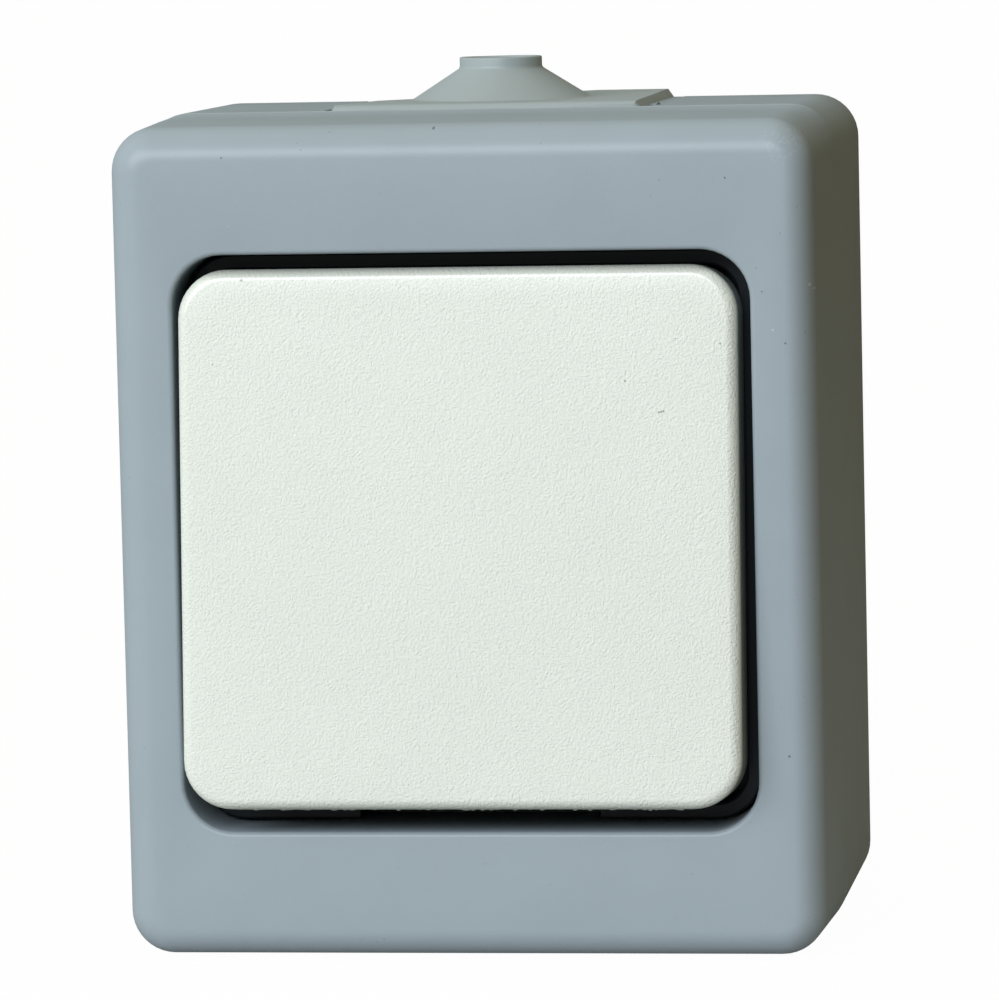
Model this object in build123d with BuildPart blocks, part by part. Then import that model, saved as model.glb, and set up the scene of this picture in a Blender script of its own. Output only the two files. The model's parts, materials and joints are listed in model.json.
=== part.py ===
import os
from math import cos, radians, sin

from build123d import *

# A surface-mounted damp-room pushbutton switch. Millimetres. X is to the right,
# Z is up, and the key faces -Y. The origin is the middle of the face that lies
# on the wall, and every "_d" value is a distance from the wall towards the key.

# Clearances
fit_gap = 0.3
slide_gap = 0.05
running_gap = 0.06
hole_gap = 0.25

# Hood: a box with its largest section at a mould crease, and draft to either side
hood_crease_w = 63.6
hood_crease_h = 75.7
back_draft_w = 0.3
back_draft_h = 0.5
front_draft_w = 0.4
front_draft_h = 1.0
hood_d = 45.0
crease_d = 25.3
hood_corner_r = 4.0
hood_edge_r = 2.8
hood_wall = 2.0
hood_front_wall = 2.2
hood_back_w = hood_crease_w - back_draft_w
hood_back_h = hood_crease_h - back_draft_h
hood_front_w = hood_crease_w - front_draft_w
hood_front_h = hood_crease_h - front_draft_h
inner_w = hood_back_w - 2 * hood_wall
inner_h = hood_back_h - 2 * hood_wall
inner_r = hood_corner_r - hood_wall

# Square opening for the key, its collar and the ledge behind it
opening_frame_w = 5.6
opening_depth = 12.5
opening_r = 4.5
opening_lip_r = 0.5
collar_wall = 1.6
ledge_thick = 2.0
ledge_w = 5.75
aperture_r = 5.0
opening_w = hood_front_w - 2 * opening_frame_w
aperture_w = opening_w - 2 * ledge_w
ledge_front_d = hood_d - opening_depth
ledge_d = ledge_front_d - ledge_thick

# Key: it turns about its middle and rests with its lower edge out
key_side_gap = 0.7
key_end_gap = 1.85
key_depth = 5.5
key_corner_r = 3.4
key_edge_r = 1.0
key_top_wall = 1.8
key_side_wall = 1.4
key_tilt = 4.17
key_face_from_pivot = 9.0
key_side_play = -0.3
key_rib_wall = 1.0
key_rib_depth = 2.0
key_rib_gap = 2.0
pivot_below_front = 7.0
key_w = opening_w - 2 * key_side_gap
key_h = opening_w - 2 * key_end_gap
pivot_d = hood_d - pivot_below_front

# Chamber in the socket, and the socket round it and its terminals
chamber_w = 13.0
chamber_top = 13.0
chamber_bottom = -15.5
block_w = 7.0
block_corner_r = 0.5
terminal_wall = 2.0
terminal_end_wall = 3.5
socket_wall = 2.5
socket_depth = 15.0
insert_chamfer = 3.0
insert_w = chamber_w + 2 * (terminal_wall + block_w + socket_wall)
terminal_x = chamber_w / 2 + terminal_wall + block_w / 2
terminal_z = insert_w / 2 - terminal_end_wall - block_w / 2

# Insert: moulded socket, steel bridge and cover, up against the ledge
cover_thick = 2.0
cover_to_ledge = 0.5
bridge_thick = 1.0
bridge_side_gap = 1.45
bridge_arm_h = 13.0
bridge_window_edge = 2.0
cover_front_d = ledge_d - cover_to_ledge
cover_d = cover_front_d - cover_thick
socket_front_d = cover_d - bridge_thick
socket_d = socket_front_d - socket_depth
bridge_reach = inner_w - 2 * bridge_side_gap

# Contact lever in the chamber, with its pin and contacts
floor_thick = 2.5
lever_above_floor = 5.5
lever_z = 8.0
lever_w = 4.4
lever_thick = 0.8
lever_end_z = -14.4
knuckle_r = 1.5
lever_pin_r = 0.6
lever_pin_hold = 0.9
press_z = -9.0
contact_z = -12.5
contact_r = 1.5
contact_thick = 1.2
contact_shank_r = 0.8
contact_head_lip = 0.4
contact_head_h = 0.4
contact_above_floor = 1.85
strip_thick = 0.8
strip_w = 4.0
strip_offset = 0.5
eye_strip_w = 2.0
eye_r = 2.0
eye_x = -4.6
floor_d = socket_d + floor_thick
lever_d = floor_d + lever_above_floor
contact_closed_d = floor_d + contact_above_floor
lever_pin_len = chamber_w + 2 * lever_pin_hold

# Terminals
wire_hole_r = 1.6
wire_above_floor = 3.7
wire_way_w = 5.6
block_front_above_floor = 9.5
wire_hole_d = floor_d + wire_above_floor
block_d = floor_d + strip_thick
block_front_d = floor_d + block_front_above_floor

# Carrier under the key, with its trunnions, presser arm and spring peg
carrier_w = 22.6
carrier_inset = 0.5
carrier_thick = 1.8
cheek_thick = 1.8
cheek_h = 9.0
trunnion_r = 1.6
trunnion_end = 2.0
presser_w = 3.0
presser_thick = 2.0
clip_w = 6.0
clip_thick = 1.3
clip_tooth = 0.6
ear_thick = 2.5
ear_gap = 0.7
ear_r = 3.6
carrier_h = insert_w - 2 * carrier_inset
ear_x = carrier_w / 2 + ear_gap
trunnion_reach = ear_x + trunnion_end

# Screws and rivets
thread_r = 1.45
small_head_r = 2.6
pan_head_r = 2.75
head_h = 1.8
head_edge_r = 0.6
slot_w = 0.8
slot_deep = 0.8
terminal_screw_len = 4.0
earth_screw_len = 3.0
insert_screw_len = 12.0
insert_screw_edge = 3.7
hood_screw_len = 16.0
hood_screw_inset = 5.2
washer_r = 2.7
washer_thick = 0.6
rivet_r = 1.2
rivet_head_r = 2.2
rivet_head_h = 0.6
rivet_inset_x = 5.5
rivet_inset_z = 6.5
insert_screw_x = bridge_reach / 2 - insert_screw_edge
hood_screw_x = opening_w / 2 - hood_screw_inset
rivet_x = insert_w / 2 - rivet_inset_x
rivet_z = insert_w / 2 - rivet_inset_z

# Base tray on the wall
tray_floor = 2.4
tray_rim_d = 9.0
tray_rim_wall = 1.8
post_r = 3.5
wall_slot_inset = 8.3
wall_slot_w = 4.4
wall_slot_len = 8.0
seal_d = 4.0
seal_thick = 2.0
seal_inset = 1.0
earth_block_depth = 7.0
earth_inset_x = 10.35
earth_inset_z = 11.3
earth_wire_floor = 1.0
cradle_wall = 1.2
tray_w = inner_w - 2 * fit_gap
tray_h = inner_h - 2 * fit_gap
wall_slot_spacing = tray_h - 2 * wall_slot_inset
earth_x = earth_inset_x - tray_w / 2
earth_z = earth_inset_z - tray_h / 2

# Splash collar that stands on the ledge round the key
splash_wall = 1.4
splash_below_front = 6.0
splash_flange = 1.2
lever_off_w = 22.0
lever_off_floor = 0.7
splash_d = hood_d - splash_below_front
washer_d = ledge_front_d + splash_flange
hood_head_d = washer_d + washer_thick
lever_off_floor_d = washer_d + lever_off_floor

# Cable grommet that slides into the top wall of the hood from the back
cut_w = 30.5
cut_corner_r = 0.8
inlet_shift = 1.35
plate_gap = 0.75
plate_proud = 0.59
plate_edge_r = 0.6
plate_bevel_w = 0.55
plate_bevel_h = 0.78
plate_shift = -0.3
flange_lap = 1.95
flange_thick = 1.2
flange_below = 2.5
cone_base_r = 8.3
cone_h = 2.84
cone_mouth_r = 6.6
nipple_r = 3.83
nipple_h = 1.02
nipple_rim_r = 0.25
cable_hole_r = 3.2
cable_hole_len = 3.4
rail_thick = 1.2
rail_h = 2.6
rail_room = 1.8
inlet_d = crease_d / 2 + inlet_shift
plate_w = cut_w - 2 * plate_gap
flange_w = cut_w + 2 * flange_lap
cable_gap_w = flange_w + 2 * (fit_gap + rail_thick + rail_room)
hood_top_z = (hood_back_h + back_draft_h * inlet_d / crease_d) / 2

# Springs
wire_r = 0.25
return_spring_r = 2.05
return_spring_turns = 7
return_spring_inset = 3.2
return_spring_seat = 0.8
spring_peg_len = 2.9
contact_spring_r = 1.5
contact_spring_turns = 4
contact_spring_z = -5.0
contact_wire_r = 0.2
return_spring_z = return_spring_inset - insert_w / 2

# Places that several pieces share
carrier_top = key_face_from_pivot - key_top_wall
carrier_under = carrier_top - carrier_thick
hood_screw_places = [(-hood_screw_x, hood_screw_x), (hood_screw_x, -hood_screw_x)]
insert_screw_places = [(-insert_screw_x, 0), (insert_screw_x, 0)]
terminal_places = [(-terminal_x, terminal_z), (terminal_x, -terminal_z)]
rivet_places = [(rivet_x, rivet_z), (-rivet_x, -rivet_z)]

lean_key = radians(key_tilt)
key_plane = Plane(
    origin=(key_side_play, -pivot_d, 0),
    x_dir=(1, 0, 0),
    z_dir=(0, -cos(lean_key), sin(lean_key)),
)
key_side_plane = Plane(origin=key_plane.origin, x_dir=key_plane.y_dir, z_dir=key_plane.x_dir)


def facing(distance):
    """The plane parallel to the wall at this distance from it, looking out."""
    return Plane.XZ.offset(distance)


def across(x):
    """The plane square to X: its first axis runs out from the wall, its second up."""
    return Plane(origin=(x, 0, 0), x_dir=(0, -1, 0), z_dir=(-1, 0, 0))


def slotted_screw(places, seat_d, head_r, shank_len):
    """Pan-head screws seated at one distance, their shanks towards the wall."""
    with BuildPart() as screws:
        with BuildSketch(facing(seat_d)):
            with Locations(*places):
                Circle(head_r)
        extrude(amount=head_h)
        fillet(screws.edges().group_by(Axis.Y)[0], head_edge_r)
        with BuildSketch(facing(seat_d)):
            with Locations(*places):
                Circle(thread_r)
        extrude(amount=-shank_len)
        with BuildSketch(facing(seat_d + head_h)):
            with Locations(*places):
                Rectangle(2 * head_r, slot_w)
        extrude(amount=-slot_deep, mode=Mode.SUBTRACT)
    return screws


def coil(radius, wire, turns, height, x, start_d, z):
    """A closed-wire compression spring that runs straight out from the wall."""
    with BuildPart() as spring:
        with BuildLine():
            path = Helix(
                pitch=height / turns,
                height=height,
                radius=radius,
                center=(x, -start_d, z),
                direction=(0, -1, 0),
            )
        with BuildSketch(Plane(origin=path @ 0, z_dir=path % 0)):
            Circle(wire)
        sweep(is_frenet=True)
    return spring


os.makedirs("parts", exist_ok=True)

# Hood
with BuildPart() as hood:
    for d, w, h in (
        (0, hood_back_w, hood_back_h),
        (crease_d, hood_crease_w, hood_crease_h),
        (hood_d, hood_front_w, hood_front_h),
    ):
        with BuildSketch(facing(d)):
            RectangleRounded(w, h, hood_corner_r)
    loft(ruled=True)
    fillet(hood.edges().group_by(Axis.Y)[0], hood_edge_r)
    for d, w, h in (
        (0, hood_back_w, hood_back_h),
        (crease_d, hood_crease_w, hood_crease_h),
        (hood_d - hood_front_wall, hood_front_w, hood_front_h),
    ):
        with BuildSketch(facing(d)):
            RectangleRounded(w - 2 * hood_wall, h - 2 * hood_wall, inner_r)
    loft(ruled=True, mode=Mode.SUBTRACT)
    # collar round the opening, with the ledge at its inner end
    with BuildSketch(facing(ledge_d)):
        RectangleRounded(
            opening_w + 2 * collar_wall,
            opening_w + 2 * collar_wall,
            opening_r + collar_wall,
        )
    extrude(amount=hood_d - hood_front_wall - ledge_d)
    with BuildSketch(facing(ledge_front_d)):
        RectangleRounded(opening_w, opening_w, opening_r)
    extrude(amount=hood_d - ledge_front_d, mode=Mode.SUBTRACT)
    with BuildSketch(facing(ledge_d)):
        RectangleRounded(aperture_w, aperture_w, aperture_r)
        with Locations(*hood_screw_places):
            Circle(thread_r + hole_gap)
    extrude(amount=ledge_thick, mode=Mode.SUBTRACT)
    front_face = hood.faces().sort_by(Axis.Y)[0]
    fillet(front_face.inner_wires()[0].edges(), opening_lip_r)
    # rails under the top wall, either side of the cut-out for the grommet
    with BuildSketch(Plane.XZ):
        for side in (-1, 1):
            with Locations((side * (flange_w / 2 + fit_gap + rail_thick / 2), inner_h / 2 - rail_h / 2)):
                Rectangle(rail_thick, rail_h + hood_wall)
    extrude(amount=crease_d)
    with BuildSketch(Plane.XY.offset(inner_h / 2 - hood_wall)) as cut_out:
        with Locations((0, -crease_d / 2)):
            Rectangle(cut_w, crease_d)
        fillet(cut_out.vertices().group_by(Axis.Y)[0], cut_corner_r)
    extrude(amount=4 * hood_wall, mode=Mode.SUBTRACT)
hood.part.label = "hood"
export_step(hood.part, "parts/hood.step")

# Base tray: floor, rim, screw posts, wall slots and a cradle for the earth block
with BuildPart() as base_tray:
    with BuildSketch(facing(0)):
        RectangleRounded(tray_w, tray_h, inner_r)
    extrude(amount=tray_rim_d)
    with BuildSketch(facing(tray_floor)):
        RectangleRounded(tray_w - 2 * tray_rim_wall, tray_h - 2 * tray_rim_wall, inner_r)
    extrude(amount=tray_rim_d - tray_floor, mode=Mode.SUBTRACT)
    # groove round the rim for the seal
    with BuildSketch(facing(seal_d)):
        RectangleRounded(tray_w + 1, tray_h + 1, inner_r)
        RectangleRounded(tray_w - 2 * seal_inset, tray_h - 2 * seal_inset, inner_r, mode=Mode.SUBTRACT)
    extrude(amount=seal_thick, mode=Mode.SUBTRACT)
    # room for the grommet and the cable at the top
    with BuildSketch(facing(0)):
        with Locations((0, tray_h / 2)):
            Rectangle(cable_gap_w, 4 * tray_rim_wall)
    extrude(amount=tray_rim_d, mode=Mode.SUBTRACT)
    with BuildSketch(facing(tray_floor)):
        with Locations(*hood_screw_places):
            Circle(post_r)
    extrude(amount=ledge_d - tray_floor)
    with BuildSketch(facing(tray_floor)):
        with Locations(*insert_screw_places):
            Circle(post_r)
    extrude(amount=socket_front_d - tray_floor)
    with BuildSketch(facing(tray_floor)):
        with Locations(*hood_screw_places, *insert_screw_places):
            Circle(thread_r + slide_gap)
    extrude(amount=ledge_d - tray_floor, mode=Mode.SUBTRACT)
    with BuildSketch(facing(0)):
        with GridLocations(0, wall_slot_spacing, 1, 2):
            SlotOverall(wall_slot_len, wall_slot_w, rotation=90)
    extrude(amount=tray_floor, mode=Mode.SUBTRACT)
    with BuildSketch(facing(tray_floor)):
        with Locations((earth_x, earth_z)):
            with GridLocations(block_w + 2 * slide_gap + cradle_wall, 0, 2, 1):
                Rectangle(cradle_wall, block_w)
    extrude(amount=earth_block_depth / 2)
base_tray.part.label = "base_tray"
export_step(base_tray.part, "parts/base_tray.step")

# Seal in the groove of the tray's rim, open at the top where the grommet is
with BuildPart() as rim_seal:
    with BuildSketch(facing(seal_d)):
        RectangleRounded(inner_w - 2 * slide_gap, inner_h - 2 * slide_gap, inner_r)
        RectangleRounded(
            tray_w - 2 * seal_inset,
            tray_h - 2 * seal_inset,
            inner_r,
            mode=Mode.SUBTRACT,
        )
        with Locations((0, tray_h / 2)):
            Rectangle(cable_gap_w, 4 * tray_rim_wall, mode=Mode.SUBTRACT)
    extrude(amount=seal_thick)
rim_seal.part.label = "rim_seal"
export_step(rim_seal.part, "parts/rim_seal.step")

# Splash collar: a dark frame on the ledge, with a gap to lever the key off
with BuildPart() as splash_collar:
    splash_w = opening_w - 2 * fit_gap
    splash_r = opening_r - fit_gap
    with BuildSketch(facing(ledge_front_d)):
        RectangleRounded(splash_w, splash_w, splash_r)
    extrude(amount=splash_d - ledge_front_d)
    with BuildSketch(facing(washer_d)):
        RectangleRounded(splash_w - 2 * splash_wall, splash_w - 2 * splash_wall, splash_r - splash_wall)
    extrude(amount=splash_d - washer_d, mode=Mode.SUBTRACT)
    with BuildSketch(facing(ledge_front_d)):
        RectangleRounded(aperture_w, aperture_w, aperture_r)
        with Locations(*hood_screw_places):
            Circle(thread_r + hole_gap)
    extrude(amount=splash_flange, mode=Mode.SUBTRACT)
    with BuildSketch(facing(lever_off_floor_d)):
        with Locations((0, -splash_w / 2)):
            Rectangle(lever_off_w, 4 * splash_wall)
    extrude(amount=splash_d - lever_off_floor_d, mode=Mode.SUBTRACT)
splash_collar.part.label = "splash_collar"
export_step(splash_collar.part, "parts/splash_collar.step")

# Cable grommet: a slide-in plate with a stepped cone
seat = Plane(origin=(plate_shift, -inlet_d, hood_top_z))
seat_section = Plane(origin=seat.origin, x_dir=seat.x_dir, z_dir=-seat.y_dir)
with BuildPart() as cable_grommet:
    half = plate_w / 2
    low = -flange_below - flange_thick
    with BuildSketch(seat_section.offset(-inlet_d + fit_gap)):
        with BuildLine():
            Polyline(
                (-half, low),
                (-half, plate_proud - plate_bevel_h),
                (-half + plate_bevel_w, plate_proud),
                (half - plate_bevel_w, plate_proud),
                (half, plate_proud - plate_bevel_h),
                (half, low),
                close=True,
            )
        make_face()
    extrude(amount=crease_d - 2 * fit_gap)
    fillet(
        cable_grommet.edges().filter_by(GeomType.LINE).group_by(Axis.Y)[0].sort_by(Axis.Z)[-1],
        plate_edge_r,
    )
    with BuildSketch(seat_section.offset(-inlet_d + tray_floor + fit_gap)):
        with Locations((0, low + flange_thick / 2)):
            Rectangle(flange_w, flange_thick)
    extrude(amount=crease_d - tray_floor - 2 * fit_gap)
    # cone and nipple
    with BuildSketch(seat_section):
        with BuildLine():
            Polyline(
                (0, 0),
                (cone_base_r, plate_proud),
                (nipple_r, plate_proud + cone_h),
                (nipple_r, plate_proud + cone_h + nipple_h),
                (0, plate_proud + cone_h + nipple_h),
                close=True,
            )
        make_face()
    revolve(axis=Axis(seat.origin, seat.z_dir))
    fillet(cable_grommet.edges().filter_by(GeomType.CIRCLE).sort_by(Axis.Z)[-1], nipple_rim_r)
    # straight hole for the cable, opening out as a cone underneath
    top = plate_proud + cone_h + nipple_h
    with BuildSketch(seat_section):
        with BuildLine():
            Polyline(
                (0, low),
                (cone_mouth_r, low),
                (cone_mouth_r, -plate_proud),
                (cable_hole_r, top - cable_hole_len),
                (cable_hole_r, top),
                (0, top),
                close=True,
            )
        make_face()
    revolve(axis=Axis(seat.origin, seat.z_dir), mode=Mode.SUBTRACT)
cable_grommet.part.label = "cable_grommet"
export_step(cable_grommet.part, "parts/cable_grommet.step")

# Key: a flat cap with a skirt, ribs and two clips for the carrier
with BuildPart() as key:
    skirt_start = key_face_from_pivot - key_depth
    with BuildSketch(key_plane.offset(skirt_start)):
        RectangleRounded(key_w, key_h, key_corner_r)
    extrude(amount=key_depth)
    fillet(key.faces().sort_by(Axis.Y)[0].edges(), key_edge_r)
    with BuildSketch(key_plane.offset(skirt_start)):
        RectangleRounded(
            key_w - 2 * key_side_wall,
            key_h - 2 * key_side_wall,
            key_corner_r - key_side_wall,
        )
    extrude(amount=key_depth - key_top_wall, mode=Mode.SUBTRACT)
    with BuildSketch(key_plane.offset(carrier_top - key_rib_depth)):
        for side in (-1, 1):
            with Locations((side * (carrier_w / 2 + key_rib_gap), 0)):
                Rectangle(key_rib_wall, key_h - key_side_wall)
    extrude(amount=key_rib_depth)
    # clips over the upper and lower edge of the carrier
    with BuildSketch(key_plane.offset(carrier_under - clip_tooth - slide_gap)):
        for side in (-1, 1):
            with Locations((0, side * (carrier_h / 2 + slide_gap + clip_thick / 2))):
                Rectangle(clip_w, clip_thick)
    extrude(amount=carrier_top - carrier_under + clip_tooth + slide_gap)
    with BuildSketch(key_plane.offset(carrier_under - clip_tooth - slide_gap)):
        for side in (-1, 1):
            with Locations((0, side * (carrier_h / 2 + slide_gap))):
                Rectangle(clip_w, 2 * clip_tooth)
    extrude(amount=clip_tooth)
key.part.label = "key"
export_step(key.part, "parts/key.step")

# Carrier: plate, cheeks with trunnions, presser arm and spring peg
tip_y = (pivot_d - lever_d - lever_thick / 2 - fit_gap) * sin(lean_key) + press_z * cos(lean_key)
tip_z = -(pivot_d - lever_d - lever_thick / 2 - fit_gap) * cos(lean_key) + press_z * sin(lean_key)
with BuildPart() as carrier:
    with BuildSketch(key_plane.offset(carrier_under)):
        Rectangle(carrier_w, carrier_h)
    extrude(amount=carrier_thick)
    with BuildSketch(key_side_plane):
        Circle(cheek_h / 2)
        with Locations((0, carrier_under / 2)):
            Rectangle(cheek_h, carrier_under)
    extrude(amount=carrier_w / 2, both=True)
    with BuildSketch(key_side_plane):
        Circle(trunnion_r)
    extrude(amount=trunnion_reach, both=True)
    with BuildSketch(key_plane.offset(-cheek_h)):
        Rectangle(carrier_w - 2 * cheek_thick, carrier_h)
    extrude(amount=cheek_h + carrier_under, mode=Mode.SUBTRACT)
    with BuildSketch(key_plane.offset(tip_z + presser_thick / 2)):
        with Locations((0, tip_y)):
            Rectangle(presser_w, presser_thick)
    extrude(amount=carrier_under - tip_z - presser_thick / 2)
    with BuildSketch(key_side_plane):
        with Locations((tip_y, tip_z + presser_thick / 2)):
            Circle(presser_thick / 2)
    extrude(amount=presser_w / 2, both=True)
    with BuildSketch(key_plane.offset(carrier_under)):
        with Locations((0, return_spring_z)):
            Circle(return_spring_r - wire_r - fit_gap)
    extrude(amount=-spring_peg_len)
carrier.part.label = "carrier"
export_step(carrier.part, "parts/carrier.step")

# Socket: the moulded block that holds the contacts
with BuildPart() as socket:
    with BuildSketch(facing(socket_d)) as outline:
        Rectangle(insert_w, insert_w)
        chamfer(outline.vertices(), insert_chamfer)
    extrude(amount=socket_depth)
    with BuildSketch(facing(floor_d)):
        with Locations((0, (chamber_top + chamber_bottom) / 2)):
            Rectangle(chamber_w, chamber_top - chamber_bottom)
        with Locations(*terminal_places):
            Rectangle(block_w + 4 * slide_gap, block_w + 4 * hole_gap)
        # ways for the strips from the chamber to the terminals
        with Locations((-terminal_x / 2, terminal_z + strip_offset)):
            Rectangle(terminal_x, eye_strip_w + 2 * slide_gap)
        with Locations((terminal_x / 2, contact_z)):
            Rectangle(terminal_x, strip_w + 2 * slide_gap)
    extrude(amount=socket_front_d - floor_d, mode=Mode.SUBTRACT)
    # channels where the wires go in at the top and the bottom edge
    with BuildSketch(facing(wire_hole_d - wire_way_w / 2)):
        for x, z in terminal_places:
            with Locations((x, z * insert_w / 2 / terminal_z)):
                Rectangle(wire_way_w, 2 * block_w)
    extrude(amount=wire_way_w, mode=Mode.SUBTRACT)
    # open seats for the pin of the lever
    with BuildSketch(facing(lever_d - lever_pin_r - slide_gap)):
        with Locations((0, lever_z)):
            Rectangle(lever_pin_len + 2 * slide_gap, 2 * (lever_pin_r + slide_gap))
    extrude(amount=socket_front_d - lever_d + lever_pin_r + slide_gap, mode=Mode.SUBTRACT)
    with BuildSketch(facing(socket_d)):
        with Locations(*rivet_places):
            Circle(rivet_r + slide_gap)
    extrude(amount=socket_depth, mode=Mode.SUBTRACT)
socket.part.label = "socket"
export_step(socket.part, "parts/socket.step")

# Bridge: the steel plate that carries the insert on the posts of the tray
with BuildPart() as bridge:
    with BuildSketch(facing(socket_front_d)) as sheet:
        Rectangle(insert_w, insert_w)
        chamfer(sheet.vertices(), insert_chamfer)
        Rectangle(bridge_reach, bridge_arm_h)
        with Locations((0, (chamber_top + chamber_bottom) / 2)):
            Rectangle(2 * lever_w, chamber_top - chamber_bottom - 2 * bridge_window_edge, mode=Mode.SUBTRACT)
        with Locations(*terminal_places):
            Circle(small_head_r + 2 * strip_thick, mode=Mode.SUBTRACT)
        with Locations(*insert_screw_places):
            Circle(thread_r + hole_gap, mode=Mode.SUBTRACT)
        with Locations(*rivet_places):
            Circle(rivet_r + slide_gap, mode=Mode.SUBTRACT)
    extrude(amount=bridge_thick)
bridge.part.label = "bridge"
export_step(bridge.part, "parts/bridge.step")

# Cover of the socket, with the two ears that the carrier turns in
with BuildPart() as socket_cover:
    with BuildSketch(facing(cover_d)) as lid:
        Rectangle(insert_w, insert_w)
        chamfer(lid.vertices(), insert_chamfer)
    extrude(amount=cover_thick)
    for side in (-1, 1):
        with BuildSketch(across(side * (ear_x + ear_thick / 2))):
            with Locations(((cover_d + pivot_d) / 2, 0)):
                Rectangle(pivot_d - cover_d, 2 * ear_r)
            with Locations((pivot_d, 0)):
                Circle(ear_r)
                Circle(trunnion_r + running_gap, mode=Mode.SUBTRACT)
        extrude(amount=ear_thick / 2, both=True)
    with BuildSketch(facing(cover_d)):
        with Locations(*terminal_places):
            Circle(small_head_r + 2 * hole_gap)
        with Locations(*rivet_places):
            Circle(rivet_r + slide_gap)
        with Locations((0, press_z + presser_thick)):
            Rectangle(presser_w + 4 * fit_gap, 4 * presser_thick)
    extrude(amount=cover_thick, mode=Mode.SUBTRACT)
    with BuildSketch(facing(cover_front_d)):
        with Locations((0, return_spring_z)):
            Circle(return_spring_r + wire_r + fit_gap)
    extrude(amount=-return_spring_seat, mode=Mode.SUBTRACT)
socket_cover.part.label = "socket_cover"
export_step(socket_cover.part, "parts/socket_cover.step")

# Contact lever: a strip with a rolled knuckle round its pin
with BuildPart() as contact_lever:
    with BuildSketch(facing(lever_d - lever_thick / 2)):
        with Locations((0, (lever_z + lever_end_z) / 2)):
            Rectangle(lever_w, lever_z - lever_end_z)
        with Locations((0, contact_z)):
            Circle(contact_shank_r + slide_gap, mode=Mode.SUBTRACT)
    extrude(amount=lever_thick)
    with BuildSketch(across(0)):
        with Locations((lever_d, lever_z)):
            Circle(knuckle_r)
    extrude(amount=lever_w / 2, both=True)
    with BuildSketch(across(0)):
        with Locations((lever_d, lever_z)):
            Circle(lever_pin_r + running_gap)
    extrude(amount=lever_w / 2, both=True, mode=Mode.SUBTRACT)
contact_lever.part.label = "contact_lever"
export_step(contact_lever.part, "parts/contact_lever.step")

with BuildPart() as lever_pin:
    with BuildSketch(across(0)):
        with Locations((lever_d, lever_z)):
            Circle(lever_pin_r)
    extrude(amount=lever_pin_len / 2, both=True)
lever_pin.part.label = "lever_pin"
export_step(lever_pin.part, "parts/lever_pin.step")

# Moving contact: a rivet through the end of the lever
with BuildPart() as moving_contact:
    lever_back_d = lever_d - lever_thick / 2
    with BuildSketch(facing(lever_back_d)):
        with Locations((0, contact_z)):
            Circle(contact_r)
    extrude(amount=-contact_thick)
    with BuildSketch(facing(lever_back_d)):
        with Locations((0, contact_z)):
            Circle(contact_shank_r)
    extrude(amount=lever_thick)
    with BuildSketch(facing(lever_back_d + lever_thick)):
        with Locations((0, contact_z)):
            Circle(contact_shank_r + contact_head_lip)
    extrude(amount=contact_head_h)
moving_contact.part.label = "moving_contact"
export_step(moving_contact.part, "parts/moving_contact.step")

# Fixed contact on the switched strip
with BuildPart() as fixed_contact:
    with BuildSketch(facing(block_d)):
        with Locations((0, contact_z)):
            Circle(contact_r)
    extrude(amount=contact_closed_d - block_d)
    with BuildSketch(facing(floor_d)):
        with Locations((0, contact_z)):
            Circle(contact_shank_r)
    extrude(amount=strip_thick)
fixed_contact.part.label = "fixed_contact"
export_step(fixed_contact.part, "parts/fixed_contact.step")

with BuildPart() as switched_strip:
    with BuildSketch(facing(floor_d)):
        with Locations(((terminal_x - contact_r) / 2, contact_z)):
            Rectangle(terminal_x + contact_r, strip_w - 2 * slide_gap)
        with Locations((0, contact_z)):
            Circle(contact_shank_r + slide_gap, mode=Mode.SUBTRACT)
    extrude(amount=strip_thick)
switched_strip.part.label = "switched_strip"
export_step(switched_strip.part, "parts/switched_strip.step")

# Common strip: it runs under its terminal and ends in an eye round the pin
with BuildPart() as common_strip:
    strip_z = terminal_z + strip_offset
    eye_side = eye_x + strip_thick / 2
    with BuildSketch(facing(floor_d)):
        with Locations(((eye_side - terminal_x) / 2, strip_z)):
            Rectangle(terminal_x + eye_side, eye_strip_w - 2 * slide_gap)
    extrude(amount=strip_thick)
    with BuildSketch(across(eye_x)):
        with Locations(((floor_d + lever_d) / 2, strip_z)):
            Rectangle(lever_d - floor_d, eye_strip_w - 2 * slide_gap)
        with Locations((lever_d - eye_r / 2, (lever_z + strip_z) / 2 + eye_strip_w / 4)):
            Rectangle(eye_r, strip_z - lever_z + eye_strip_w / 4)
        with Locations((lever_d, lever_z)):
            Circle(eye_r)
            Circle(lever_pin_r + slide_gap, mode=Mode.SUBTRACT)
    extrude(amount=strip_thick / 2, both=True)
common_strip.part.label = "common_strip"
export_step(common_strip.part, "parts/common_strip.step")


def terminal_block(x, z, back_d, front_d, wire_d):
    """A brass block with an upright hole for the wire and one in its front for its screw."""
    with BuildPart() as block:
        with BuildSketch(facing(back_d)):
            with Locations((x, z)):
                RectangleRounded(block_w, block_w, block_corner_r)
        extrude(amount=front_d - back_d)
        with BuildSketch(Plane.XY.offset(z)):
            with Locations((x, -wire_d)):
                Circle(wire_hole_r)
        extrude(amount=block_w, both=True, mode=Mode.SUBTRACT)
        with BuildSketch(facing(wire_d)):
            with Locations((x, z)):
                Circle(thread_r + slide_gap)
        extrude(amount=front_d - wire_d, mode=Mode.SUBTRACT)
    return block


common_block = terminal_block(*terminal_places[0], block_d, block_front_d, wire_hole_d)
common_block.part.label = "common_block"
export_step(common_block.part, "parts/common_block.step")

switched_block = terminal_block(*terminal_places[1], block_d, block_front_d, wire_hole_d)
switched_block.part.label = "switched_block"
export_step(switched_block.part, "parts/switched_block.step")

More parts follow.
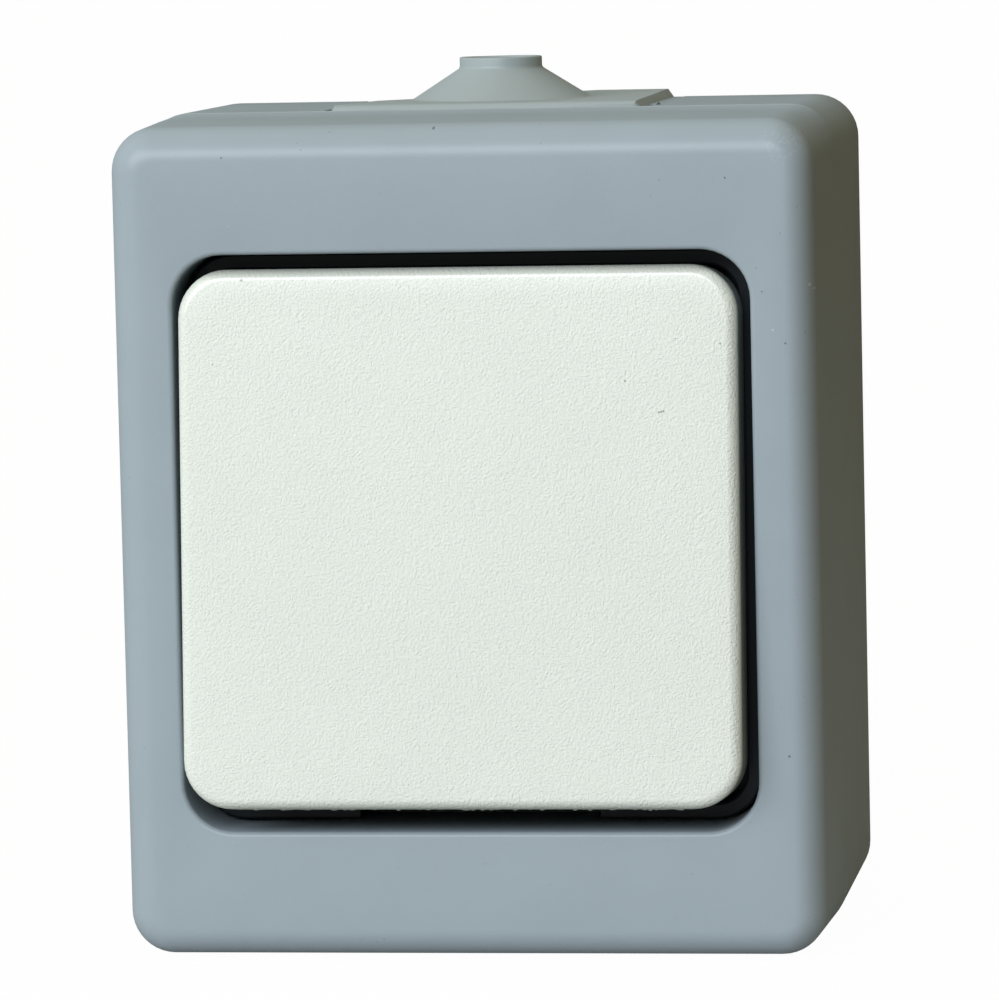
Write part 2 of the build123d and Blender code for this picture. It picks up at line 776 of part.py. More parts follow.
earth_front_d = tray_floor + earth_block_depth
earth_wire_d = tray_floor + earth_wire_floor + wire_hole_r
earth_block = terminal_block(earth_x, earth_z, tray_floor, earth_front_d, earth_wire_d)
earth_block.part.label = "earth_block"
export_step(earth_block.part, "parts/earth_block.step")

# Screws, washers and rivets
terminal_screws = slotted_screw(
    terminal_places,
    block_front_d + fit_gap,
    small_head_r,
    terminal_screw_len,
)
terminal_screws.part.label = "terminal_screws"
export_step(terminal_screws.part, "parts/terminal_screws.step")

earth_screw = slotted_screw(
    [(earth_x, earth_z)],
    earth_front_d + fit_gap,
    small_head_r,
    earth_screw_len,
)
earth_screw.part.label = "earth_screw"
export_step(earth_screw.part, "parts/earth_screw.step")

insert_screws = slotted_screw(insert_screw_places, cover_d, pan_head_r, insert_screw_len)
insert_screws.part.label = "insert_screws"
export_step(insert_screws.part, "parts/insert_screws.step")

hood_screws = slotted_screw(hood_screw_places, hood_head_d, pan_head_r, hood_screw_len)
hood_screws.part.label = "hood_screws"
export_step(hood_screws.part, "parts/hood_screws.step")

with BuildPart() as screw_washers:
    with BuildSketch(facing(washer_d)):
        with Locations(*hood_screw_places):
            Circle(washer_r)
            Circle(thread_r + slide_gap, mode=Mode.SUBTRACT)
    extrude(amount=washer_thick)
screw_washers.part.label = "screw_washers"
export_step(screw_washers.part, "parts/screw_washers.step")

with BuildPart() as insert_rivets:
    for d, out in ((socket_d, -1), (cover_front_d, 1)):
        with BuildSketch(facing(d)):
            with Locations(*rivet_places):
                Circle(rivet_head_r)
        extrude(amount=out * rivet_head_h)
    with BuildSketch(facing(socket_d)):
        with Locations(*rivet_places):
            Circle(rivet_r)
    extrude(amount=cover_front_d - socket_d)
insert_rivets.part.label = "insert_rivets"
export_step(insert_rivets.part, "parts/insert_rivets.step")

# Springs
spring_seat_d = cover_front_d - return_spring_seat + wire_r
carrier_back_d = pivot_d + carrier_under * cos(lean_key) - return_spring_z * sin(lean_key)
return_spring = coil(
    return_spring_r,
    wire_r,
    return_spring_turns,
    carrier_back_d - 2 * wire_r - fit_gap - spring_seat_d,
    key_side_play,
    spring_seat_d,
    return_spring_z,
)
return_spring.part.label = "return_spring"
export_step(return_spring.part, "parts/return_spring.step")

contact_spring = coil(
    contact_spring_r,
    contact_wire_r,
    contact_spring_turns,
    lever_d - lever_thick / 2 - floor_d - 2 * contact_wire_r - fit_gap,
    0,
    floor_d + contact_wire_r,
    contact_spring_z,
)
contact_spring.part.label = "contact_spring"
export_step(contact_spring.part, "parts/contact_spring.step")
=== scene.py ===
import json
from functools import reduce
from itertools import product
from math import atan2, cos, pi, radians, sin
from random import Random

import bmesh
import bpy
from mathutils import Matrix, Quaternion, Vector


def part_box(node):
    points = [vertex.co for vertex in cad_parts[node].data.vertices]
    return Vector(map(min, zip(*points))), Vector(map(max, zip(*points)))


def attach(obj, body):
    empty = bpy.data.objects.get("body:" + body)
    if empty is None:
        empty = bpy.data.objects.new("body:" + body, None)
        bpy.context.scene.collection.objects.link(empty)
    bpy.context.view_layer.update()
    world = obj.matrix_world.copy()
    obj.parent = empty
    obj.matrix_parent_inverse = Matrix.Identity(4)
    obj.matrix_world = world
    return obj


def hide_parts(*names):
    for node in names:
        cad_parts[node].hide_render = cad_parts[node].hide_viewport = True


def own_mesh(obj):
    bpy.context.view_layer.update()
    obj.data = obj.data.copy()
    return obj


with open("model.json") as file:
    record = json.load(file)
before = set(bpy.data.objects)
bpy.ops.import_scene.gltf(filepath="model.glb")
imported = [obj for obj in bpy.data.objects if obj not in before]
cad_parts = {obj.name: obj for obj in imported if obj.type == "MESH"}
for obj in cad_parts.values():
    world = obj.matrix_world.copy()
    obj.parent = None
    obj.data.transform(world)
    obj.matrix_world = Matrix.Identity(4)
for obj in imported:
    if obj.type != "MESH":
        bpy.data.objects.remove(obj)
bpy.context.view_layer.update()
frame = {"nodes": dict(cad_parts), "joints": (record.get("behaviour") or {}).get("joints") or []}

bl_info = {
    "name": "Damp-room pushbutton switch",
    "version": (1, 0, 0),
    "blender": (4, 5, 0),
    "location": "3D View > Sidebar > Switch",
    "description": "Models the outside of a surface-mounted pushbutton switch and gives every piece its finish",
    "category": "Object",
}

MM = 0.001
HOOD_LOW, HOOD_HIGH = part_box("hood")
COLLAR_LOW, COLLAR_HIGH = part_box("splash_collar")
HOOD_DEPTH = -HOOD_LOW.y
CREASE_WIDTH = HOOD_HIGH.x - HOOD_LOW.x
CREASE_HEIGHT = HOOD_HIGH.z - HOOD_LOW.z
JOINTS = {joint["name"]: joint for joint in frame["joints"]}
KEY_PIVOT = Vector(JOINTS["key_press"]["pos_m"])

HOUSING = "housing"
KEY_BODY = "key"
WHITE = (1, 1, 1, 1)

CORNER_STEPS = 10       # parts of each corner of an outline

# Small marks on the front: sideways place, height and radius in millimetres
HOOD_SPECKS = (
    (-21.1, 34.7, 0.09), (24.0, 32.3, 0.09), (26.6, 24.3, 0.05), (27.1, 22.2, 0.08),
    (29.1, 17.6, 0.1), (28.8, -19.2, 0.12), (-2.1, 37.0, 0.12), (18.2, 32.2, 0.05),
)
HOOD_LIGHT_MARKS = ((-20.6, 28.6, 0.06), (28.0, 18.8, 0.1), (31.2, 22.7, 0.14), (31.5, 22.3, 0.1))
KEY_SPECKS = (
    (-19.5, 23.8, 0.14), (14.9, 14.5, 0.1), (23.4, 17.7, 0.09), (-22.2, 16.3, 0.06), (-11.6, 15.9, 0.05),
    (19.4, 18.2, 0.06), (17.9, 11.7, 0.1), (18.1, 11.75, 0.1), (18.3, 11.8, 0.1),
)


def length(name, description, millimetres):
    """A size that a user can change, given here in millimetres."""
    return bpy.props.FloatProperty(
        name=name, description=description, default=millimetres * MM,
        unit="LENGTH", subtype="DISTANCE", precision=5,
    )


def angle(name, description, degrees):
    """An angle that a user can change, given here in degrees."""
    return bpy.props.FloatProperty(
        name=name, description=description, default=radians(degrees), unit="ROTATION", subtype="ANGLE",
    )


def number(name, description, default, **more):
    """A plain number that a user can change."""
    return bpy.props.FloatProperty(name=name, description=description, default=default, **more)


def colour(name, description, rgb):
    """A colour that a user can change, written as 0 to 255 on screen."""
    return bpy.props.FloatVectorProperty(
        name=name, description=description, subtype="COLOR", size=3, min=0, max=1,
        default=[screen_to_linear(part / 255) for part in rgb],
    )


def screen_to_linear(value):
    """The linear amount of light behind one sRGB part."""
    return value / 12.92 if value <= 0.04045 else ((value + 0.055) / 1.055) ** 2.4


class HoodSettings(bpy.types.PropertyGroup):
    """Sizes and colours of the hood."""

    back_narrower: length("Back taper", "How much narrower the back edge is than the crease", 0.3)
    back_lower: length("Back taper height", "How much lower the back edge is than the crease", 0.5)
    front_narrower: length("Front taper", "How much narrower the front is than the crease", 0.4)
    front_lower: length("Front taper height", "How much lower the front is than the crease", 1.0)
    crease: length("Crease", "Distance of the mould crease from the wall", 25.3)
    corner: length("Corner radius", "Radius of the four long corners", 4.0)
    edge: length("Front edge", "Width of the rounding of the front edge", 2.8)
    edge_deep: length("Front edge depth", "Depth of the rounding of the front edge", 3.0)
    uneven: number("Uneven edge", "How much wider the rounding is above and on the left", 0.08)
    wall: length("Wall", "Thickness of the side walls", 2.0)
    front_wall: length("Front wall", "Thickness of the front wall", 2.2)
    opening: length("Opening", "Width and height of the opening for the key", 52.0)
    opening_corner: length("Opening corner", "Corner radius of the opening", 4.5)
    lip: length("Lip", "Rounding of the opening's front edge", 0.45)
    collar_wall: length("Collar wall", "Thickness of the collar round the opening", 1.6)
    ledge: length("Ledge", "Distance of the ledge's back from the wall", 30.5)
    ledge_thick: length("Ledge thickness", "Thickness of the ledge", 2.0)
    aperture: length("Aperture", "Width and height of the aperture in the ledge", 40.5)
    aperture_corner: length("Aperture corner", "Corner radius of the aperture", 5.0)
    seam: length("Seam", "Height of the fine step of the parting line on the crease", 0.06)
    flash: length("Flash", "How far back the cut-out has flash on its edges", 21.5)
    cut_width: length("Cut-out", "Width of the cut-out for the grommet", 30.5)
    cut_corner: length("Cut-out corner", "Corner radius of the cut-out", 0.8)
    rail: length("Rail", "Thickness of the rails beside the grommet", 1.2)
    rail_height: length("Rail height", "How far the rails reach down from the top wall", 2.6)
    screw_place: length("Hood screw place", "Sideways and upward place of the hood screws", 20.8)
    screw_hole: length("Hood screw hole", "Radius of the holes for the hood screws", 1.7)
    tint: colour("Hood colour", "Colour of the moulded plastic", (157, 172, 180))
    roughness: number("Roughness", "Roughness of the hood", 0.38, min=0, max=1)


class KeySettings(bpy.types.PropertyGroup):
    """Sizes and colours of the key."""

    width: length("Width", "Width of the key", 50.3)
    height: length("Height", "Height of the key", 48.3)
    depth: length("Depth", "Depth of the skirt, with the face", 5.5)
    corner: length("Corner radius", "Radius of the corners", 4.4)
    edge: length("Edge radius", "Rounding of the front edge", 1.0)
    side_wall: length("Side wall", "Thickness of the skirt", 1.4)
    top_wall: length("Face wall", "Thickness of the face", 1.8)
    face: length("Face", "Distance of the face from the pivot", 9.0)
    crown: length("Crown", "How much the face bulges in the middle", 0.12)
    tilt: angle("Tilt", "How far the lower edge stands out at rest", 4.17)
    carrier_height: length("Carrier height", "Height of the carrier that the clips hold", 35.0)
    carrier_under: length("Carrier underside", "Distance of the carrier's underside from the pivot", 5.4)
    clip_width: length("Clip width", "Width of the clips", 6.0)
    clip_thick: length("Clip thickness", "Thickness of the clips", 1.3)
    rib_place: length("Rib place", "Sideways place of the ribs", 13.3)
    flash: length("Flash", "Largest height of the ragged flash under the lower edge", 0.13)
    grain: length("Grain", "Size of the grain on the face", 0.22)
    grain_height: length("Grain height", "Height of the grain", 0.15)
    tint: colour("Key colour", "Colour of the key", (231, 240, 232))


class GrommetSettings(bpy.types.PropertyGroup):
    """Sizes and colours of the cable grommet."""

    inlet: length("Inlet", "Distance of the cone's axis from the wall", 14.0)
    shift: length("Shift", "How far the grommet has moved sideways in its cut-out", -0.3)
    seat: length("Seat", "Height of the hood's top where the grommet sits", 37.738)
    width: length("Width", "Width of the plate", 29.0)
    proud: length("Proud", "How far the plate stands out of the hood", 0.59)
    bevel_width: length("Bevel width", "Width of the sloping ends", 0.55)
    bevel_height: length("Bevel height", "Height of the sloping ends", 0.78)
    flange: length("Flange", "Width of the flange under the plate", 34.4)
    flange_thick: length("Flange thickness", "Thickness of the flange", 1.2)
    below: length("Flange depth", "Distance of the flange below the plate", 2.5)
    tray_room: length("Room for the tray", "Distance of the flange from the wall", 2.7)
    cone_radius: length("Cone radius", "Radius of the cone at its foot", 8.3)
    cone_height: length("Cone height", "Height of the cone", 2.84)
    nipple_radius: length("Nipple radius", "Outer radius of the nipple", 3.83)
    nipple_height: length("Nipple height", "Height of the nipple", 1.02)
    hole_radius: length("Hole radius", "Radius of the cable hole", 3.2)
    hole_length: length("Hole length", "Length of the straight cable hole", 3.4)
    mouth_radius: length("Mouth radius", "Radius of the hollow under the cone", 6.6)
    sag: length("Sag", "How far the plate's back corner on the left has sunk", 0.7)
    front_edge: length("Front edge", "Rounding of the plate's front edge", 0.72)
    tint: colour("Grommet colour", "Colour of the soft plastic", (160, 173, 175))


class CollarSettings(bpy.types.PropertyGroup):
    """Sizes and colours of the splash collar and the seals."""

    wall: length("Wall", "Thickness of the collar", 1.4)
    corner: length("Corner radius", "Outer corner radius", 4.2)
    flange: length("Flange", "Thickness of the flange on the ledge", 1.2)
    gap_width: length("Lever gap", "Width of the gap for levering the key off", 22.0)
    gap_floor: length("Lever gap floor", "Distance of the gap's floor from the wall", 34.4)
    tint: colour("Collar colour", "Colour of the dark plastic", (43, 49, 54))
    seal_tint: colour("Seal colour", "Colour of the seals", (24, 24, 25))


class InsertSettings(bpy.types.PropertyGroup):
    """Sizes of the small parts, and colours of the tray and of the pieces inside."""

    pan_head: length("Screw head", "Radius of the heads of the hood and bridge screws", 2.75)
    small_head: length("Terminal screw head", "Radius of the heads of the terminal screws", 2.6)
    head_height: length("Head height", "Height of the screw heads", 1.8)
    slot_width: length("Slot", "Width of the slots", 0.8)
    slot_deep: length("Slot depth", "Depth of the slots", 0.8)
    thread: length("Thread", "Outer radius of the threads", 1.45)
    pitch: length("Pitch", "Pitch of the threads", 0.8)
    rivet_head: length("Rivet head", "Radius of the rivet heads", 2.2)
    rivet_height: length("Rivet head height", "Height of the rivet heads", 0.6)
    rivet: length("Rivet", "Radius of the rivets", 1.2)
    spring: length("Return spring", "Middle radius of the return spring", 2.05)
    spring_wire: length("Return spring wire", "Radius of its wire", 0.25)
    spring_turns: number("Return spring turns", "Turns of the return spring", 7, min=1)
    small_spring: length("Contact spring", "Middle radius of the contact spring", 1.5)
    small_wire: length("Contact spring wire", "Radius of its wire", 0.2)
    small_turns: number("Contact spring turns", "Turns of the contact spring", 4, min=1)
    tray_tint: colour("Tray colour", "Colour of the base tray", (150, 163, 169))
    socket_tint: colour("Socket colour", "Colour of the moulded socket", (214, 207, 186))
    cover_tint: colour("Cover colour", "Colour of the cover and the carrier", (50, 53, 57))
    zinc_tint: colour("Zinc colour", "Colour of zinc-plated steel", (178, 178, 172))
    brass_tint: colour("Brass colour", "Colour of brass", (196, 164, 92))
    bronze_tint: colour("Bronze colour", "Colour of the bronze strips", (188, 128, 88))
    silver_tint: colour("Silver colour", "Colour of the contacts", (208, 208, 202))


class StageSettings(bpy.types.PropertyGroup):
    """Camera, lamp and surroundings."""

    aim: bpy.props.FloatVectorProperty(
        name="Aim", description="The point that the camera looks at", size=3,
        default=(3.3 * MM, -45.1 * MM, 3.9 * MM), unit="LENGTH", subtype="TRANSLATION",
    )
    azimuth: angle("Azimuth", "How far the camera stands to the right", 8.52)
    elevation: angle("Elevation", "How far the camera stands above the level", 5.86)
    roll: angle("Roll", "How far the camera is turned about its own axis", -1.295)
    distance: length("Distance", "Distance of the camera from its aim", 600.0)
    lens: number("Lens", "Focal length in millimetres on a 36 mm sensor", 242.7, unit="CAMERA", min=1)
    key_lamp: number("Key lamp", "Power of the large soft lamp", 27.2, unit="POWER", subtype="POWER")
    ambient: number("Ambient", "Strength of the light from all round", 0.64, min=0)


SETTINGS = {
    "switch_hood": HoodSettings,
    "switch_key": KeySettings,
    "switch_grommet": GrommetSettings,
    "switch_collar": CollarSettings,
    "switch_insert": InsertSettings,
    "switch_stage": StageSettings,
}


# Materials


class Signal:
    """One output in a node tree, used in sums like a number."""

    def __init__(self, board, socket):
        self.board = board
        self.socket = socket

    def math(self, operation, *values):
        """Adds one Math node and returns its output."""
        return self.board.node("ShaderNodeMath", {"operation": operation}, dict(enumerate(values)))

    def plain(operation):
        """The method behind a sign, such as mask - 1."""
        return lambda self, other: self.math(operation, self, other)

    def reflected(operation):
        """The method behind the same sign the other way round, such as 1 - mask."""
        return lambda self, other: self.math(operation, other, self)

    __add__, __radd__ = plain("ADD"), reflected("ADD")
    __sub__, __rsub__ = plain("SUBTRACT"), reflected("SUBTRACT")
    __mul__, __rmul__ = plain("MULTIPLY"), reflected("MULTIPLY")
    __truediv__, __rtruediv__ = plain("DIVIDE"), reflected("DIVIDE")
    __pow__, __rpow__ = plain("POWER"), reflected("POWER")
    above, below = plain("MAXIMUM"), plain("MINIMUM")

    def __neg__(self):
        return self * -1.0

    def __abs__(self):
        return self.math("ABSOLUTE", self)


class Nodes:
    """A node tree that is put together step by step."""

    def __init__(self, tree):
        self.tree = tree

    def node(self, kind, settings=None, inputs=None, out=0):
        """Adds a node, sets it up, then gives its sockets their values or links."""
        new = self.tree.nodes.new(kind)
        for name, value in (settings or {}).items():
            setattr(new, name, value)
        for name, value in (inputs or {}).items():
            if isinstance(value, Signal):
                self.tree.links.new(value.socket, new.inputs[name])
            else:
                new.inputs[name].default_value = value
        return Signal(self, new.outputs[out])

    def split(self, vector):
        """The three parts of a vector."""
        return (self.node("ShaderNodeSeparateXYZ", inputs={"Vector": vector}, out=axis) for axis in "XYZ")

    def join(self, x, y, z):
        """A vector out of its three parts."""
        return self.node("ShaderNodeCombineXYZ", inputs={"X": x, "Y": y, "Z": z})

    def rays(self, *kinds):
        """1 for rays of these kinds, and 0 for all others."""
        seen = [self.node("ShaderNodeLightPath", out=f"Is {kind} Ray") for kind in kinds]
        return reduce(Signal.above, seen)


class Recipe(Nodes):
    """A Geometry Nodes tree that makes one kind of small part from named sizes."""

    def __init__(self, name):
        super().__init__(bpy.data.node_groups.new(name, "GeometryNodeTree"))
        for way in ("INPUT", "OUTPUT"):
            self.tree.interface.new_socket("Geometry", in_out=way, socket_type="NodeSocketGeometry")
        self.start = self.tree.nodes.new("NodeGroupInput")
        self.sizes = {}

    def size(self, name, value):
        """Adds a named input, a number, a whole number or a vector, and returns its signal."""
        kinds = {int: "NodeSocketInt", float: "NodeSocketFloat"}
        kind = kinds.get(type(value), "NodeSocketVector")
        socket = self.tree.interface.new_socket(name, in_out="INPUT", socket_type=kind)
        self.sizes[socket.identifier] = value
        return Signal(self, self.start.outputs[name])

    def moved(self, geometry, place, turn=(0, 0, 0)):
        """Geometry at another place, turned about its own origin."""
        return self.node(
            "GeometryNodeTransform", inputs={"Geometry": geometry, "Translation": place, "Rotation": turn},
        )

    def together(self, *parts):
        """Several geometries as one."""
        joined = self.tree.nodes.new("GeometryNodeJoinGeometry")
        for part in parts:
            self.tree.links.new(part.socket, joined.inputs[0])
        return Signal(self, joined.outputs[0])

    def button(self, radius, height, segments=28):
        """A flat-based head with softly rounded edges: a ball whose points are pushed outwards."""
        ball = self.node("GeometryNodeMeshUVSphere", inputs={"Segments": segments, "Rings": 12, "Radius": 1.0})
        x, y, z = self.split(self.node("GeometryNodeInputPosition"))
        away = (x * x + y * y) ** 0.5
        grow = radius * away ** 0.45 / away.above(0.0001)
        place = self.join(x * grow, y * grow, z.above(0.0) ** 0.5 * height)
        return self.node("GeometryNodeSetPosition", inputs={"Geometry": ball, "Position": place})

    def rod(self, radius, long, start, segments=20):
        """A round rod that runs down from this height."""
        rod = self.node("GeometryNodeMeshCylinder", inputs={"Vertices": segments, "Radius": radius, "Depth": long})
        return self.moved(rod, self.join(0.0, 0.0, start - long / 2))

    def coil(self, radius, turns, height, wire, steps, sides):
        """A wire of this radius wound upwards round the axis."""
        path = self.node("GeometryNodeCurveSpiral", inputs={
            "Resolution": steps, "Rotations": turns, "Start Radius": radius, "End Radius": radius, "Height": height,
        })
        profile = self.node("GeometryNodeCurvePrimitiveCircle", inputs={"Resolution": sides, "Radius": wire})
        return self.node("GeometryNodeCurveToMesh", inputs={"Curve": path, "Profile Curve": profile, "Fill Caps": True})

    def repeat(self, geometry, first, step, count, spin=0.0):
        """Copies in a row from the first place, each turned a little further, that face the user."""
        row = self.node("GeometryNodeMeshLine", inputs={"Count": count, "Start Location": first, "Offset": step})
        spins = self.join(0.0, 0.0, self.node("GeometryNodeInputIndex") * spin)
        upright = self.node("FunctionNodeRotateRotation", {"rotation_space": "LOCAL"}, {
            "Rotation": (pi / 2, 0, 0), "Rotate By": spins,
        })
        return self.node(
            "GeometryNodeInstanceOnPoints", inputs={"Points": row, "Instance": geometry, "Rotation": upright},
        )

    def make(self, name, geometry, material):
        """Ends the tree, runs it once and returns its result as a plain mesh object."""
        real = self.node("GeometryNodeRealizeInstances", inputs={"Geometry": geometry})
        done = self.node("GeometryNodeSetMaterial", inputs={"Geometry": real, "Material": material})
        self.tree.links.new(done.socket, self.tree.nodes.new("NodeGroupOutput").inputs[0])
        obj = bpy.data.objects.new(name, bpy.data.meshes.new(name))
        bpy.context.scene.collection.objects.link(obj)
        change = obj.modifiers.new(name, "NODES")
        change.node_group = self.tree
        for identifier, value in self.sizes.items():
            change[identifier] = value
        settle(obj)
        soften(obj, 40)
        return obj


class Board(Nodes):
    """The node tree of one material, with its shader and its place on the piece."""

    def __init__(self, name):
        self.material = bpy.data.materials.new(name)
        self.material.use_nodes = True
        super().__init__(self.material.node_tree)
        self.shader = self.tree.nodes["Principled BSDF"]
        self.place = self.node("ShaderNodeTexCoord", out="Object")
        self.x, self.y, self.z = self.split(self.place)

    def noise(self, size, detail=2.0, seed=0.0, stretch=(1, 1, 1)):
        """Noise whose lumps are about this large, from 0 to 1."""
        place = self.node("ShaderNodeMapping", inputs={
            "Vector": self.place, "Location": (seed, seed, seed), "Scale": stretch,
        })
        return self.node("ShaderNodeTexNoise", inputs={
            "Vector": place, "Scale": 1 / size, "Detail": detail, "Roughness": 0.55,
        })

    def step(self, value, start, end, low=0.0, high=1.0, rise="SMOOTHSTEP"):
        """A smooth rise from low to high between two values."""
        return self.node("ShaderNodeMapRange", {"interpolation_type": rise}, {
            "Value": value, "From Min": start, "From Max": end, "To Min": low, "To Max": high,
        }, "Result")

    def spot(self, x, z, radius):
        """1 inside a round spot on a surface that faces the user, and 0 outside."""
        across, up = self.x - x, self.z - z
        away = (across * across + up * up) ** 0.5
        return self.step(away, radius * 1.3, radius * 0.7)

    def marks(self, places):
        """1 inside any of these small spots, each given by its sideways place, height and radius."""
        total = 0.0
        for x, z, radius in places:
            total = self.spot(x * MM, z * MM, radius * MM) + total
        return total.below(1.0)

    def paint(self, amount, rgb):
        """Lays another colour over the tint of the plastic."""
        self.tint = self.blend(amount, self.tint, opaque(rgb))
        self.set("Base Color", self.tint)

    def blend(self, amount, first, second):
        """Mixes two colours."""
        return self.node("ShaderNodeMix", {"data_type": "RGBA"}, {0: amount, 6: first, 7: second}, 2)

    def set(self, name, value):
        """Gives one socket of the shader a number, a colour or a signal."""
        if isinstance(value, Signal):
            self.tree.links.new(value.socket, self.shader.inputs[name])
        else:
            self.shader.inputs[name].default_value = value

    def mix(self, amount, second):
        """Mixes another shader over the one that reaches the output."""
        output = self.tree.nodes["Material Output"].inputs["Surface"]
        first = Signal(self, output.links[0].from_socket)
        both = self.node("ShaderNodeMixShader", inputs={0: amount, 1: first, 2: second})
        self.tree.links.new(both.socket, output)

    def sheen(self, amount, roughness):
        """Adds an even gloss that doesn't grow towards the outline, as a dull moulded skin has."""
        self.mix(amount, self.node(
            "ShaderNodeBsdfAnisotropic", {"distribution": "GGX"}, {"Color": WHITE, "Roughness": roughness},
        ))

    def bump(self, height, distance, strength=1.0):
        """Lets a height shape the light on the surface."""
        self.set("Normal", self.node(
            "ShaderNodeBump", inputs={"Height": height, "Distance": distance, "Strength": strength},
        ))


def opaque(rgb, factor=1.0):
    """A colour with its alpha, made lighter or darker by a factor."""
    return (*[min(1.0, part * factor) for part in rgb], 1.0)


def plastic(name, rgb, roughness, grain, height, cloud=0.06, seed=0.0, shine=0.03):
    """Moulded plastic with a fine skin, faint clouds in its colour and uneven gloss."""
    board = Board(name)
    cloud_size, sheen_roughness = 9 * MM, 0.34
    clouds = board.noise(cloud_size, 3, seed)
    fine = board.noise(grain, 2, seed + 3)
    board.tint = board.blend(
        board.step(clouds, 0.3, 0.7), opaque(rgb, 1 - cloud / 2), opaque(rgb, 1 + cloud / 2),
    )
    board.set("Base Color", board.tint)
    board.set("Roughness", roughness + (clouds - 0.5) * 0.12 + (fine - 0.5) * 0.08)
    board.set("Specular IOR Level", 0.0)
    board.bump(fine, height)
    if shine:
        board.sheen(shine, sheen_roughness)
    return board


def dull(name, roughness):
    """The plain dull finish of what stands round the switch."""
    board = Board(name)
    board.set("Roughness", roughness)
    board.set("Specular IOR Level", 0.0)
    return board


def metal(name, rgb, roughness, seed):
    """Stamped or turned metal with fine tool marks and a little tarnish."""
    board = Board(name)
    tool_mark, stain_size, tarnished = 0.12 * MM, 2.2 * MM, opaque(rgb, 0.76)
    marks = board.noise(tool_mark, 2, seed, (1, 1, 14))
    stain = board.step(board.noise(stain_size, 3, seed + 5), 0.45, 0.7)
    board.set("Base Color", board.blend(stain * 0.6, opaque(rgb), tarnished))
    board.set("Metallic", 1.0)
    board.set("Roughness", roughness + (marks - 0.5) * 0.16 + stain * 0.12)
    board.bump(marks, 0.004 * MM, 0.6)
    return board


def finish(obj, material):
    """Gives a piece one material on all its slots."""
    obj.data.materials.clear()
    obj.data.materials.append(material)


def finish_node(name, material):
    """Gives a carried-over CAD node a better material."""
    node = frame["nodes"][name]
    if not node.material_slots:
        node.data.materials.append(material)
    for slot in node.material_slots:
        slot.material = material


# Shapes


def rounded_outline(width, height, radius, side_steps=8):
    """Points round a rounded rectangle, counter-clockwise, as many on each whatever its size."""
    points = []
    far, high = width / 2 - radius, height / 2 - radius
    middles = ((far, high), (-far, high), (-far, -high), (far, -high))
    for quarter, (x, z) in enumerate(middles):
        for step in range(CORNER_STEPS + 1):
            turn = (quarter + step / CORNER_STEPS) * pi / 2
            points.append((x + radius * cos(turn), z + radius * sin(turn)))
        start = points[-1]
        next_x, next_z = middles[(quarter + 1) % 4]
        end = (next_x + radius * cos(turn), next_z + radius * sin(turn))
        for step in range(1, side_steps):
            points.append(tuple(a + (b - a) * step / side_steps for a, b in zip(start, end)))
    return points


def inset_ring(size, inset, out, radius, side_steps=8):
    """The outline this far inside a width and a height, at its distance from the wall."""
    return rounded_outline(size[0] - 2 * inset, size[1] - 2 * inset, radius, side_steps), out


def facing(x, out, up):
    """A point at this distance from the wall."""
    return Vector((x, -out, up))


def skin(shape, rows, ends=False):
    """Fills in between rows of as many points each, and closes both ends if they are open."""
    for first, second in zip(rows, rows[1:]):
        for i in range(len(first)):
            j = (i + 1) % len(first)
            shape.faces.new((first[i], first[j], second[j], second[i]))
    if ends:
        shape.faces.new(rows[0])
        shape.faces.new(rows[-1])


def loft(shape, rings, place=facing):
    """Skins rings, each a list of (x, up) points with its distance out, and returns their points."""
    rows = [[shape.verts.new(place(x, out, up)) for x, up in points] for points, out in rings]
    skin(shape, rows)
    return rows


def quarter_turn(radius, steps):
    """(inset, rise) pairs round a quarter circle, from its start to its end."""
    for step in range(steps + 1):
        turn = step / steps * pi / 2
        yield radius * (1 - cos(turn)), radius * sin(turn)


def block(shape, low, high, place=lambda *corner: corner):
    """Adds a closed box between two corners."""
    verts = [shape.verts.new(place(*corner)) for corner in product(*zip(low, high))]
    for side in ((0, 1, 3, 2), (4, 6, 7, 5), (0, 4, 5, 1), (2, 3, 7, 6), (0, 2, 6, 4), (1, 5, 7, 3)):
        shape.faces.new([verts[i] for i in side])


def spun(shape, profile, matrix, steps=96):
    """Turns a profile of (radius, rise) points, which starts and ends on the axis."""
    rows = []
    for radius, rise in profile:
        count = steps if radius else 1
        turns = [2 * pi * step / steps for step in range(count)]
        places = [Vector((radius * cos(turn), radius * sin(turn), rise)) for turn in turns]
        rows.append([shape.verts.new(matrix @ place) for place in places])
    for first, second in zip(rows, rows[1:]):
        for i in range(steps):
            j = (i + 1) % steps
            if len(first) == 1:
                shape.faces.new((first[0], second[i], second[j]))
            elif len(second) == 1:
                shape.faces.new((first[i], second[0], first[j]))
            else:
                shape.faces.new((first[i], second[i], second[j], first[j]))


def solid(shape, name):
    """Turns a closed shape into an object, with its faces pointing outwards."""
    bmesh.ops.remove_doubles(shape, verts=shape.verts, dist=0.0005 * MM)
    bmesh.ops.recalc_face_normals(shape, faces=shape.faces)
    return put_in(name, shape)


def put_in(name, shape):
    """Turns a shape into an object of the scene."""
    obj = bpy.data.objects.new(name, bpy.data.meshes.new(name))
    shape.to_mesh(obj.data)
    shape.free()
    bpy.context.scene.collection.objects.link(obj)
    return obj


def settle(obj):
    """Applies an object's modifiers to its mesh."""
    graph = bpy.context.evaluated_depsgraph_get()
    mesh = bpy.data.meshes.new_from_object(obj.evaluated_get(graph))
    mesh.name = obj.name
    obj.modifiers.clear()
    obj.data = mesh


def combine(obj, shape, name, operation):
    """Cuts a closed shape out of this object, or joins it on."""
    other = solid(shape, name)
    change = obj.modifiers.new(name, "BOOLEAN")
    change.operation = operation
    change.solver = "EXACT"
    change.object = other
    settle(obj)
    bpy.data.objects.remove(other)


